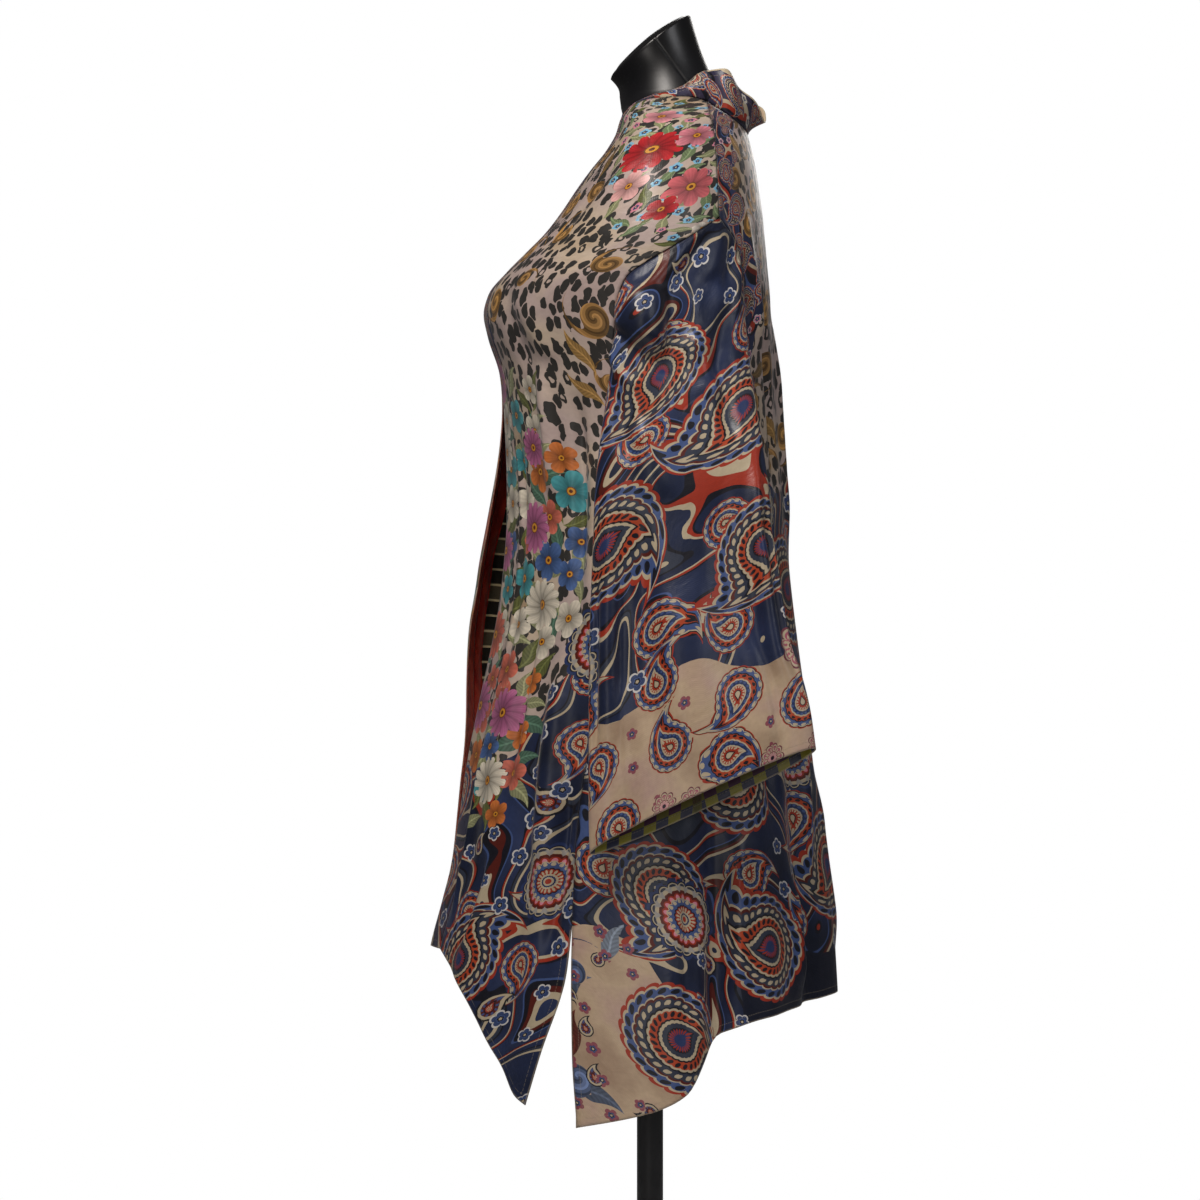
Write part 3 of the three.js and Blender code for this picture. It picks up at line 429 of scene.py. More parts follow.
def grid_index(shape, around):
    """The grid's point numbers, with the first column once more at the end of a closed grid."""
    index = np.arange(shape[0] * shape[1]).reshape(shape)
    return np.concatenate([index, index[:, :1]], 1) if around else index


def grid_faces(index):
    corners = [index[:-1, :-1], index[1:, :-1], index[1:, 1:], index[:-1, 1:]]
    return np.stack(corners, -1).reshape(-1, 4)


def shell(name, outer, inner, around, material, flip):
    """A closed sheet of two layers, joined round its edges. Gives the object, its faces, and how
    many of them, from the first, are the outer layer's and the rim's."""
    index = grid_index(outer.shape[:2], around)
    count = outer[..., 0].size
    front = grid_faces(index)
    loops = [index[0], index[-1][::-1]]
    if not around:
        loops += [index[:, 0][::-1], index[:, -1]]
    rim = np.concatenate([
        np.stack([line[:-1], line[1:], line[1:] + count, line[:-1] + count], -1) for line in loops
    ])
    faces = np.concatenate([front, rim, (front + count)[:, ::-1]])
    if flip:
        faces = faces[:, ::-1]
    points = np.concatenate([outer.reshape(-1, 3), inner.reshape(-1, 3)]) * MM
    return mesh_object(name, points, faces, material), faces, len(front) + len(rim)


# ---- The print: motifs laid on the flat cut ----

PAINTED, LEAF, BOTEH, CRESCENT, MEDALLION, SCROLL, STAR, DROP, ROSETTE = range(9)
# kind of drawing, bulb radius, curl, tips (0 one, 1 two), lobes, their depth, ticks round it
MOTIFS = {
    "flower": (PAINTED, 0.999, 0, 0, 5, 0.42, 10), "daisy": (PAINTED, 0.999, 0, 0, 8, 0.34, 16),
    "dahlia": (PAINTED, 0.999, 0.35, 0, 13, 0.26, 26), "leaf": (LEAF, 0.25, 0.5, 1, 2, 0, 12),
    "boteh": (BOTEH, 0.43, 1.3, 0, 15, 0.05, 15),
    "crescent": (CRESCENT, 0.55, 1.9, 0, 23, 0.05, 23),
    "medallion": (MEDALLION, 0.999, 0, 0, 18, 0.11, 18), "scroll": (SCROLL, 0.3, 3.7, 0, 2, 0, 6),
    "star": (STAR, 0.999, 0, 0, 5, 0.36, 5), "drop": (DROP, 0.42, 1.1, 0, 9, 0.04, 9),
    "petals": (ROSETTE, 0.999, 0, 0, 9, 0.3, 18), "curl": (SCROLL, 0.22, 4.6, 0, 2, 0, 6),
}
TAPER, ROUNDNESS = 0.8, 0.6  # of a motif's tip and of its lobes, as powers
BLANK = 9.0  # the place in its motif of a face that has none
NEAR, SPARE = 1.35, 8  # a motif's reach: its share of the size, and mm more


def motif_reach(du, dv, motif):
    """How far out a place is in a motif: 0 at its middle, 1 at its outline."""
    size, turn, (_, bulb, curl, tips, lobes, depth, _) = motif[2], motif[3], MOTIFS[motif[4]]
    c, s = math.cos(turn), math.sin(turn)
    x, y = (c * du + s * dv) / size, (c * dv - s * du) / size
    r = np.hypot(x, y)
    theta = (np.arctan2(y, x) + curl * r + np.pi) % (2 * np.pi) - np.pi
    fold = abs(theta)
    if tips:
        fold = np.minimum(fold, np.pi - fold)
    reach = (bulb / np.cos(np.maximum(math.acos(bulb) - fold, 0))) ** TAPER
    return r / (reach * (1 - depth * (1 - abs(np.cos(lobes * theta / 2)) ** ROUNDNESS)))


def lay_motifs(made, prefix, motifs, faces, printed, u, v):
    """Gives each printed face its motif: the last one that covers it, or else the nearest."""
    corners = faces[:printed]
    cu, cv = u[corners].mean(1), v[corners].mean(1)
    best = np.full(printed, BLANK)
    pick = np.zeros(printed, int)
    for i, motif in enumerate(motifs):
        du, dv = cu - motif[0], cv - motif[1]
        near = np.flatnonzero(np.hypot(du, dv) < NEAR * motif[2] + SPARE)
        reach = motif_reach(du[near], dv[near], motif)
        wins = (reach < best[near]) | (reach < 1)
        best[near[wins]] = np.maximum(reach[wins], 1)
        pick[near[wins]] = i
    table = np.array([
        (m[0], m[1], m[2], math.cos(m[3]), math.sin(m[3]), *MOTIFS[m[4]], *m[5], m[6])
        for m in motifs
    ])[pick]
    du, dv = u[corners] - table[:, None, 0], v[corners] - table[:, None, 1]
    size, c, s, kind = (table[:, None, k] for k in (2, 3, 4, 5))
    shown = (best < BLANK)[:, None]
    at = np.full((len(faces), 4, 3), BLANK)
    at[:printed, :, 0] = np.where(shown, (c * du + s * dv) / size, BLANK)
    at[:printed, :, 1] = np.where(shown, (c * dv - s * du) / size, BLANK)
    at[:printed, :, 2] = kind
    attribute(made, prefix + "_at", "FLOAT_VECTOR", "CORNER", at)
    for name, data, first, bare in (
        ("_form", "FLOAT_VECTOR", 6, (0.9, 0, 0)), ("_lobes", "FLOAT_VECTOR", 9, (0, 0, 0)),
        ("_ink", "FLOAT_COLOR", 12, (0, 0, 0, 0)),
    ):
        values = np.tile(np.array(bare, float), (len(faces), 1))
        values[:printed] = table[:, first:first + len(bare)]
        attribute(made, prefix + name, data, "FACE", values)


def placed(grid, u, v, flowers, side):
    """The listed flowers, laid where the panel passes each height and depth. The right side's
    lie a little further back."""
    laid = []
    for y, z, size, motif, ink in flowers:
        off = np.hypot(grid[..., 1] - y - 5 * (side < 0), grid[..., 2] - z)
        at = np.unravel_index(off.argmin(), off.shape)
        laid.append((u[at], v[at], size, 0.7 * y + side, motif, rgb(ink), 0))
    return laid


def rgb(text):
    """Linear colour of a six-digit sRGB code."""
    parts = [int(text[i:i + 2], 16) / 255 for i in (0, 2, 4)]
    return tuple(p / 12.92 if p <= 0.04045 else ((p + 0.055) / 1.055) ** 2.4 for p in parts)


def paint(colour):
    """Linear colour with alpha of an sRGB code, of a grey level, or of None, which is clear."""
    if colour is None:
        return 0.0, 0.0, 0.0, 0.0
    return (*(rgb(colour) if isinstance(colour, str) else (colour,) * 3), 1.0)


PINK, CORAL, RED, WHITE = "cf8496", "c66a58", "b8242c", "d3cab9"
TEAL, BLUE, SKY, ORANGE = "4a979f", "4a6496", "7fb6d2", "c47038"
MAGENTA, OLIVE, SAGE = "b3668f", "5f6338", "8d8f6b"
NAVY, GREY, SLATE = "26345a", "76808f", "4a5468"

# What each zone of cloth is printed with: layer, motif, spacing across and up, sizes, inks,
# white outline. Later rows lie over earlier ones, and the small layer over the big one.
SCATTERS = {
    "navy": [
        ("big", "boteh", 92, 104, (44, 60), (NAVY,), 0),
        ("big", "crescent", 142, 156, (78, 98), (NAVY,), 0),
        ("big", "medallion", 236, 248, (34, 42), (NAVY,), 0),
        ("big", "drop", 88, 96, (20, 30), (RED,), 0),
        ("small", "curl", 96, 104, (26, 38), ("b9ac96",), 0),
        ("small", "star", 41, 45, (8, 12), ("34446c",), 1),
    ],
    "cuff": [
        ("big", "boteh", 68, 72, (46, 55), (NAVY,), 0),
        ("big", "petals", 48, 46, (19, 25), (PINK,), 0),
        ("small", "drop", 33, 37, (11, 15), (RED,), 0),
        ("small", "star", 29, 33, (6, 8), ("8c4a55",), 0),
    ],
    "hemline": [
        ("small", "petals", 27, 30, (13, 16), (PINK,), 0),
    ],
    "corner": [
        ("big", "leaf", 62, 58, (26, 36), (SLATE, "5b2a22", GREY), 0),
        ("big", "curl", 84, 92, (42, 52), ("5d6d92",), 0),
        ("small", "drop", 40, 46, (12, 18), (RED,), 0),
        ("small", "star", 31, 35, (6, 8), ("8c4a55",), 0),
    ],
    "gold": [
        ("big", "scroll", 54, 62, (28, 42), ("a67c43", "8f6c40"), 0),
        ("big", "leaf", 44, 50, (16, 26), ("977646", "6f5834"), 0),
    ],
    "flowers": [
        ("big", "leaf", 30, 33, (18, 28), (OLIVE, SAGE, "4d6b5a"), 0),
        ("small", "flower", 40, 44, (15, 23), (PINK, TEAL, WHITE, CORAL, TEAL, WHITE, BLUE, ORANGE), 0),
        ("small", "dahlia", 86, 92, (21, 28), (MAGENTA, WHITE, CORAL), 0),
    ],
    "shoulder": [
        ("big", "leaf", 25, 29, (15, 24), (SAGE, OLIVE, "6f7f5c"), 0),
        ("small", "star", 25, 27, (4.5, 7.5), (SKY, PINK, SKY), 0),
    ],
    "ribbon": [
        ("big", "crescent", 44, 50, (24, 31), (NAVY,), 0),
        ("big", "boteh", 34, 38, (15, 21), (NAVY,), 0),
        ("small", "star", 19, 23, (4.5, 6.5), (PINK, BLUE, WHITE), 1),
    ],
}
# the shoulder's large flowers: how far back, height, radius, motif, ink
SHOULDER_FLOWERS = [
    (0, 1330, 32, "dahlia", "b3262c"), (46, 1350, 24, "flower", "c97a86"),
    (40, 1292, 29, "daisy", "c9646a"), (-24, 1290, 19, "flower", "d9a3a0"),
    (8, 1268, 17, "flower", "b3262c"), (10, 1372, 21, "flower", "cf8a92"),
    (50, 1250, 13, "flower", "cfc6ba"),
]
LARGE = ("crescent", "boteh", "medallion", "scroll")
FILLERS = ("star", "curl", "drop", "petals", "leaf")  # these keep clear of the large ones
CLEAR_OF, CLEAR_BY = 0.72, 0.4  # of the large motif's size, and of the filler's own
SHIFT = 0.17  # how far a motif strays, in spacings
ON_ZONE = 5  # a motif's middle lies on its zone, or no further than this beside it


def scattered(zones, u, v, seed):
    """Half-drop rows of motifs on the zones that they belong to, each a little out of place."""
    draw = np.random.default_rng(seed)
    layers = {"big": [], "small": []}
    flat_u, flat_v = u.ravel(), v.ravel()
    for zone, scatters in SCATTERS.items():
        if zone not in zones:
            continue
        inside = zones[zone].ravel() > 0
        if not inside.any():
            continue
        zu, zv = flat_u[inside], flat_v[inside]
        for layer, motif, wide, high, sizes, inks, outline in scatters:
            columns = range(int(zu.min() // wide) - 1, int(zu.max() // wide) + 2)
            rows = range(int(zv.min() // high) - 1, int(zv.max() // high) + 2)
            for i, j in ((i, j) for i in columns for j in rows):
                shift = draw.uniform(-SHIFT, SHIFT, 2)
                cu = (i + 0.5 + shift[0]) * wide
                cv = (j + 0.5 * (i % 2) + 0.25 + shift[1]) * high
                size, turn = draw.uniform(*sizes), draw.uniform(0, 2 * np.pi)
                ink = inks[int(draw.integers(len(inks)))]
                if motif in FILLERS and any(
                    math.hypot(m[0] - cu, m[1] - cv) < CLEAR_OF * m[2] + CLEAR_BY * size
                    for m in layers["big"] if m[4] in LARGE
                ):
                    continue
                if np.min(np.hypot(zu - cu, zv - cv)) < ON_ZONE:
                    layers[layer].append((cu, cv, size, turn, motif, rgb(ink), outline))
    return layers


# ---- Materials ----


class Finish:
    """A material under construction. A colour may be given as an sRGB code."""

    def __init__(self, name):
        self.material = bpy.data.materials.new(name)
        self.material.use_nodes = True
        self.nodes, self.links = self.material.node_tree.nodes, self.material.node_tree.links
        self.nodes.clear()

    def add(self, kind, sockets=(), **settings):
        node = self.nodes.new(kind)
        for key, value in settings.items():
            setattr(node, key, value)
        for key, value in dict(sockets).items():
            if isinstance(value, bpy.types.NodeSocket):
                self.links.new(value, node.inputs[key])
            else:
                node.inputs[key].default_value = paint(value) if isinstance(value, str) else value
        return node

    def math(self, operation, *values, clamp=False):
        node = self.add("ShaderNodeMath", enumerate(values), operation=operation, use_clamp=clamp)
        return node.outputs[0]

    def times(self, first, *others):
        for other in others:
            first = self.math("MULTIPLY", first, other)
        return first

    def scaled(self, value, scale, offset):
        return self.math("MULTIPLY_ADD", value, scale, offset)

    def above(self, value, limit):
        return self.math("GREATER_THAN", value, limit)

    def below(self, value, limit):
        return self.math("LESS_THAN", value, limit)

    def less(self, value, other, clamp=False):
        return self.math("SUBTRACT", value, other, clamp=clamp)

    def lines(self, value, pitch, width):
        """1 on evenly spaced lines, each as wide as that share of their pitch."""
        return self.below(self.math("FRACT", self.times(value, 1 / pitch)), width)

    def vector(self, operation, first, second):
        return self.add("ShaderNodeVectorMath", {0: first, 1: second}, operation=operation).outputs[0]

    def mix(self, share, first, second, blend="MIX"):
        sockets = {0: share, 6: first, 7: second}
        node = self.add("ShaderNodeMix", sockets, data_type="RGBA", blend_type=blend)
        return node.outputs[2]

    def shaded(self, colour, value):
        """A colour, darker or lighter by a value."""
        grey = self.add("ShaderNodeCombineColor", {0: value, 1: value, 2: value})
        return self.mix(1.0, colour, grey.outputs[0], "MULTIPLY")

    def steps(self, value, stops, blending="CONSTANT"):
        """Colours in steps along a value. Gives the colour and its alpha."""
        node = self.add("ShaderNodeValToRGB", {0: value})
        node.color_ramp.interpolation = blending
        elements = node.color_ramp.elements
        while len(elements) < len(stops):
            elements.new(0.5)
        for element, (place, colour) in zip(elements, stops):
            element.position = place
            element.color = paint(colour)
        return node.outputs["Color"], node.outputs["Alpha"]

    def blend(self, value, *stops):
        """Colours that run into one another along a value."""
        return self.steps(value, stops, "LINEAR")[0]

    def over(self, under, value, *stops):
        """Steps of colour over another colour, which shows where a step is clear."""
        colour, alpha = self.steps(value, stops)
        return self.mix(alpha, under, colour)

    def noise(self, vector, scale, detail=2.0, roughness=0.5, distortion=0.0):
        node = self.add("ShaderNodeTexNoise", {
            "Vector": vector, "Scale": scale, "Detail": detail, "Roughness": roughness,
            "Distortion": distortion,
        })
        return node.outputs["Fac"]

    def place(self):
        return self.add("ShaderNodeTexCoord").outputs["Object"]

    def parts(self, vector):
        return list(self.add("ShaderNodeSeparateXYZ", {0: vector}).outputs)

    def read(self, name):
        return self.add("ShaderNodeAttribute", attribute_name=name).outputs

    def fields(self, name):
        return self.parts(self.read(name)["Vector"])

    def surface(self, sockets):
        shader = self.add("ShaderNodeBsdfPrincipled", sockets)
        self.add("ShaderNodeOutputMaterial", {0: shader.outputs[0]})
        return self.material

    def finish(self, sockets, bump, distance, strength):
        sizes = {"Height": bump, "Distance": distance, "Strength": strength}
        return self.surface({**sockets, "Normal": self.add("ShaderNodeBump", sizes).outputs[0]})


DARK, CREAM, BRICK, BROWN = "161620", "b8a98f", "9c3220", "561d16"
DEEP_BLUE, SLATE_INK, RUST, LIGHT_BLUE = "283660", "303646", "ad4426", "425585"

# Bands of colour from a motif's middle to its outline, and the dots in some of them.
BANDS = {
    BOTEH: (
        [(0, CREAM), (0.1, DARK), (0.14, BRICK), (0.3, CREAM), (0.35, NAVY),
         (0.5, CREAM), (0.55, RUST), (0.71, DARK), (0.75, LIGHT_BLUE),
         (0.9, CREAM), (0.93, DARK), (0.96, BRICK)],
        [(0, None), (0.2, CREAM), (0.3, None), (0.4, LIGHT_BLUE), (0.5, None),
         (0.6, DARK), (0.7, None), (0.8, CREAM), (0.9, None)],
    ),
    CRESCENT: (
        [(0, DEEP_BLUE), (0.18, DARK), (0.22, SLATE_INK), (0.3, CREAM), (0.35, DARK),
         (0.38, RUST), (0.51, CREAM), (0.55, DARK), (0.58, SLATE_INK),
         (0.72, BROWN), (0.76, CREAM), (0.785, LIGHT_BLUE), (0.91, CREAM),
         (0.945, BRICK)],
        [(0, None), (0.1, BRICK), (0.2, None), (0.4, DARK), (0.5, None),
         (0.61, CREAM), (0.69, None), (0.8, DARK), (0.9, None)],
    ),
    MEDALLION: (
        [(0, BRICK), (0.07, CREAM), (0.11, NAVY), (0.15, CREAM), (0.2, BRICK),
         (0.32, DARK), (0.35, LIGHT_BLUE), (0.5, CREAM), (0.53, BRICK),
         (0.63, BROWN), (0.72, "9a9692"), (0.86, CREAM), (0.89, DARK),
         (0.92, DEEP_BLUE)],
        [(0, None), (0.2, CREAM), (0.3, None), (0.4, CREAM), (0.5, None),
         (0.53, PINK), (0.6, None), (0.7, CREAM), (0.8, SLATE_INK), (0.86, None)],
    ),
    DROP: (
        [(0, BRICK), (0.28, DARK), (0.36, BROWN), (0.62, CREAM), (0.84, DARK)],
        [(0, CREAM), (0.2, None), (0.4, LIGHT_BLUE), (0.6, None)],
    ),
    ROSETTE: (
        [(0, DARK), (0.16, PINK), (0.4, BROWN), (0.46, CREAM), (0.7, "9d4f63"),
         (0.8, CREAM), (0.9, "6d3340")],
        [(0, None), (0.2, CREAM), (0.4, None), (0.5, "9d4f63"), (0.7, None)],
    ),
}


def printed_layer(f, prefix, under, brushed):
    """Draws a layer of motifs over a colour. All of them share one outline, told apart by their
    bulb, curl, tips and lobes."""
    u, v, kind = f.fields(prefix + "_at")
    bulb, curl, tips = f.fields(prefix + "_form")
    lobes, depth, ticks = f.fields(prefix + "_lobes")
    ink = f.read(prefix + "_ink")
    r = f.math("SQRT", f.math("ADD", f.times(u, u), f.times(v, v)))
    plain = f.math("ARCTAN2", v, u)
    theta = f.math("WRAP", f.scaled(curl, r, plain), math.pi, -math.pi)
    once = f.math("ABSOLUTE", theta)
    twice = f.math("MINIMUM", once, f.less(math.pi, once))
    fold = f.scaled(tips, f.less(twice, once), once)
    open_by = f.math("MAXIMUM", f.less(f.math("ARCCOSINE", bulb), fold), 0.0)
    outline = f.math("POWER", f.math("DIVIDE", bulb, f.math("COSINE", open_by)), TAPER)
    lobe = f.math("ABSOLUTE", f.math("COSINE", f.times(lobes, theta, 0.5)))
    lobe = f.math("POWER", lobe, ROUNDNESS)
    notched = f.less(1.0, f.times(depth, f.less(1.0, lobe)))
    t = f.math("DIVIDE", r, f.times(outline, notched))

    # Round dots, each in the middle of a tenth of the way out.
    band = f.less(f.times(f.math("FRACT", f.times(t, 10.0)), 2.0), 1.0)
    wave = f.math("COSINE", f.times(ticks, theta))
    dot = f.above(wave, f.less(f.times(band, band, 1.3), 0.35))

    # Painted petals: darker between them and towards the middle, streaked along.
    streak = f.scaled(f.math("COSINE", f.times(ticks, theta, 2.0)), 0.07, 0.93)
    shade = f.blend(t, (0, 0.35), (0.3, 0.6), (0.72, 1.0), (1, 1.25))
    petal = f.times(shade, streak, f.scaled(lobe, 0.55, 0.45), brushed)
    painted = f.shaded(ink["Color"], petal)
    colour = f.over(painted, r, (0, "5a2a14"), (0.08, "c98a2c"), (0.17, "6d3a1a"), (0.21, None))
    drawings = {}

    # Leaves: a pale middle vein and side veins that run out and forwards.
    across = f.math("ABSOLUTE", f.times(r, f.math("SINE", theta)))
    along = f.times(r, f.math("COSINE", theta))
    side = f.math("SINE", f.times(f.less(along, across), 34.0))
    blade = f.times(f.scaled(side, 0.16, 0.9), brushed)
    blade = f.math("ADD", blade, f.times(f.below(across, 0.035), 0.7))
    drawings[LEAF] = f.shaded(ink["Color"], blade)

    # Scrolls: a spiral of bands.
    turned = f.math("FRACT", f.scaled(r, 3.1, f.math("DIVIDE", plain, 2 * math.pi)))
    gold = f.steps(turned, [(0, 0.5), (0.2, 1.2), (0.45, 1.7), (0.62, 0.75), (0.85, 0.3)])[0]
    drawings[SCROLL] = f.mix(1.0, ink["Color"], gold, "MULTIPLY")

    # Small outlined stars.
    drawings[STAR] = f.over(
        ink["Color"], t, (0, CREAM), (0.16, DARK), (0.32, LIGHT_BLUE), (0.44, NAVY),
        (0.5, None),
    )
    for index, (bands, marks) in BANDS.items():
        mark, shown = f.steps(t, marks)
        drawings[index] = f.mix(f.times(dot, shown), f.steps(t, bands)[0], mark)
    for index, drawing in drawings.items():
        colour = f.mix(f.math("COMPARE", kind, float(index), 0.4), colour, drawing)

    outlined = f.times(f.above(t, 0.8), ink["Alpha"])
    colour = f.mix(outlined, colour, "c9c6c4")
    return f.mix(f.below(t, 1.0), under, colour)


def leopard_skin(f, cut, cloud):
    """Charcoal spots of uneven size on cream, lavender and tan."""
    skin = f.blend(cloud, (0.3, "ad9893"), (0.46, "b8a59f"), (0.58, "c1af9c"), (0.72, "b1987a"))
    tall = f.add("ShaderNodeMapping", {"Vector": cut, "Scale": (1.0, 0.66, 1.0)}).outputs[0]
    shake = f.add("ShaderNodeTexNoise", {"Vector": cut, "Scale": 95.0, "Detail": 1.0})
    shake = f.vector("MULTIPLY", shake.outputs["Color"], (0.008, 0.008, 0.0))
    cells = f.add("ShaderNodeTexVoronoi", {
        "Vector": f.vector("ADD", tall, shake), "Scale": 76.0, "Randomness": 0.8,
    }, voronoi_dimensions="2D").outputs
    vary = f.add("ShaderNodeSeparateColor", {0: cells["Color"]}).outputs
    wide = f.scaled(vary[0], 0.18, 0.31)
    hollow = f.times(f.below(cells["Distance"], f.times(wide, 0.45)), f.above(vary[1], 0.84))
    return f.mix(f.less(f.below(cells["Distance"], wide), hollow), skin, "33312f")


def flowing_ground(f, cut, cloud, ground):
    """Indigo with slow changes of depth and thin lines that flow over it."""
    indigo = f.blend(cloud, *zip((0.3, 0.5, 0.7), ground))
    return f.over(
        indigo, f.noise(cut, 10.5, 0.0, 0.5, 0.9), (0, None), (0.33, CREAM),
        (0.352, SLATE_INK), (0.385, DARK), (0.4, None), (0.47, CREAM), (0.485, BRICK),
        (0.507, DARK), (0.517, None), (0.6, LIGHT_BLUE), (0.612, DARK),
        (0.64, BROWN), (0.662, CREAM), (0.68, None),
    )


def red_satin(f, cut):
    return f.blend(f.noise(cut, 30.0), (0.35, "c01c16"), (0.6, "e0402b"))


def inner_cloth(f, kind, cut, across, along):
    """The inner layer's colouring, with a red facing beside the band where it is faced."""
    if kind == "checks":
        ways = f.times(f.lines(along, 0.019, 0.5), 2.0)
        ways = f.math("DIVIDE", f.math("ADD", f.lines(across, 0.027, 0.5), ways), 4.0)
        return f.steps(ways, [(0, "5e581c"), (0.2, "3d1535"), (0.45, "2c2f45"), (0.7, "7d7624")])[0]
    if kind == "red":
        return red_satin(f, cut)
    ways = f.math("MAXIMUM", f.lines(across, 0.021, 0.2), f.lines(along, 0.017, 0.14))
    broad = f.math("MAXIMUM", f.lines(across, 0.042, 0.4), f.lines(along, 0.051, 0.4))
    back = f.mix(ways, f.mix(broad, "2b2924", "5e5644"), "e2d0a6")
    if kind == "faced plaid":
        back = f.mix(f.below(across, FACING_WIDTH), back, red_satin(f, cut))
    return back


# sizes in the silk's materials, in metres
FACING_WIDTH = 0.028
COLLAR_Z, BEHIND_NECK_Y, PIPING = 1.372, 0.06, 0.0016
WORN_LEAST, WORN_MORE = 0.001, 0.0008
STITCH_ROW, STITCH_HALF, STITCH_PITCH = 0.0075, 0.0004, 0.0032
PAINTED_SEAM_SHADE, PUCKER_REACH, BUMP_DEPTH = 0.004, 0.022, 0.0013


def silk(name, inner, ground):
    """Printed silk with a satin face. inner is the kind of its inner layer."""
    f = Finish(name)
    cut = f.read("cut")["Vector"]
    across, along, _ = f.parts(cut)
    leopard, cream, dark = f.fields("zone")
    edge, seam, inside = f.fields("edges")
    wobble = f.less(f.noise(cut, 26.0), 0.5)
    brushed = f.scaled(f.noise(cut, 90.0, 3.0, 0.6), 0.5, 0.75)
    cloud = f.noise(cut, 9.0)
    pale = f.blend(f.noise(cut, 14.0, 3.0), (0.32, "a0866f"), (0.5, "bda58a"), (0.68, "b4968a"))

    # The plain dark border, the cream ground and the leopard skin lie over the indigo.
    colour = flowing_ground(f, cut, cloud, ground)
    for field, cover in ((dark, "141829"), (cream, pale), (leopard, leopard_skin(f, cut, cloud))):
        colour = f.mix(f.above(f.scaled(wobble, 0.8, field), 0.0), colour, cover)
    colour = printed_layer(f, "big", colour, brushed)
    colour = printed_layer(f, "small", colour, brushed)

    back = inner_cloth(f, inner, cut, across, along)
    if inner == "red":
        _, backward, height = f.parts(f.place())
        neck = f.above(height, COLLAR_Z)
        mark = f.math("COMPARE", f.noise(cut, 21.0, 1.0, 0.5, 0.6), 0.5, 0.022)
        back = f.mix(neck, back, f.mix(mark, pale, "1f2740"))
    colour = f.mix(inside, colour, back)

    # A worn, rolled edge, a row of stitches behind it, and painted shade that darkens the cloth towards
    # the seams.
    worn = f.scaled(f.noise(cut, 120.0), WORN_MORE, WORN_LEAST)
    colour = f.mix(f.times(f.below(edge, worn), 0.55), colour, "8f8270")
    if inner == "red":
        piping = f.times(f.below(edge, PIPING), f.times(neck, f.above(backward, BEHIND_NECK_Y)))
        colour = f.mix(piping, colour, "c4b59a")
    stitch_row = f.math("COMPARE", edge, STITCH_ROW, STITCH_HALF)
    stitch = f.times(stitch_row, f.lines(f.math("ADD", across, along), STITCH_PITCH, 0.68))
    colour = f.mix(f.times(stitch, 0.28), colour, "a89c88")
    # painted shade: the colour darkens over the last few mm before each seam, as in the sewn hollow
    fade = f.less(1.0, f.math("DIVIDE", seam, PAINTED_SEAM_SHADE), clamp=True)
    colour = f.mix(f.times(fade, 0.45), colour, "1c1a1e")
    colour = f.shaded(colour, f.scaled(f.noise(cut, 220.0), 0.22, 0.87))

    # Satin weave, puckers along the seams, and faint handling creases.
    weave = f.add("ShaderNodeTexWave", {
        "Vector": cut, "Scale": 300.0, "Distortion": 1.2, "Detail": 1.0,
    }, bands_direction="DIAGONAL").outputs["Fac"]
    by_seam = f.less(1.0, f.math("DIVIDE", seam, PUCKER_REACH), clamp=True)
    bump = f.scaled(weave, 0.035, f.times(f.noise(cut, 130.0), by_seam, 1.1))
    bump = f.scaled(f.noise(cut, 34.0, 4.0, 0.62, 0.9), 0.9, bump)
    bump = f.scaled(stitch_row, -0.35, bump)
    return f.finish({
        "Base Color": colour, "Roughness": f.scaled(f.noise(cut, 45.0), 0.16, 0.31),
        "Specular IOR Level": 0.42, "Sheen Weight": 0.08, "Sheen Roughness": 0.35,
        "Sheen Tint": (0.8, 0.82, 0.9, 1),
    }, bump, BUMP_DEPTH, 0.85)


def gloss_black():
    f = Finish("form_gloss_black")
    place = f.place()
    smear = f.noise(place, 11.0, 4.0, 0.6, 0.4)
    dust = f.above(f.noise(place, 420.0, 1.0), 0.74)
    base = f.blend(smear, (0.3, "0b0b0d"), (0.7, "121216"))
    return f.finish({
        "Base Color": f.mix(f.times(dust, 0.25), base, "4a4a50"),
        "Roughness": f.scaled(smear, 0.22, 0.24), "Specular IOR Level": 0.5,
    }, f.scaled(f.noise(place, 60.0), 0.25, f.noise(place, 7.0, 1.0)), 0.0006, 0.6)


def coated_steel():
    f = Finish("stand_coated_steel")
    place = f.place()
    wear = f.noise(place, 16.0, 4.0, 0.65)
    return f.finish({
        "Base Color": f.blend(wear, (0.35, "141416"), (0.62, "1e1e21"), (0.76, "2c2b2b")),
        "Roughness": f.scaled(wear, 0.25, 0.28), "Metallic": 0.35,
    }, f.noise(place, 900.0), 0.0002, 0.6)


# ---- Making the cloth ----

INDIGO = ("141929", "202945", "2f3b60")
SILKS = {  # slot: the inner layer and the ground's three blues
    "silk_front": ("faced plaid", INDIGO), "silk_back": ("plaid", INDIGO),
    "silk_sleeve": ("checks", INDIGO), "silk_band": ("red", ("22263e", "302f48", "453548")),
}
MATERIALS = {slot: silk(slot, *looks) for slot, looks in SILKS.items()}
FAR, NOWHERE = 500.0, -99.0  # from an edge that isn't there, and in a zone that isn't there
FRONT_DEGREE, SLEEVE_DEGREE = 3.4, 1.25  # mm round the cloth for each degree
SIDE_ROW = NECK_STEPS + round((SHOULDER_Z - UNDERARM_Z) / (SHOULDER_Z - SLIT_TOP_Z) * LEVEL_STEPS)
SLIT_ROW = NECK_STEPS + LEVEL_STEPS


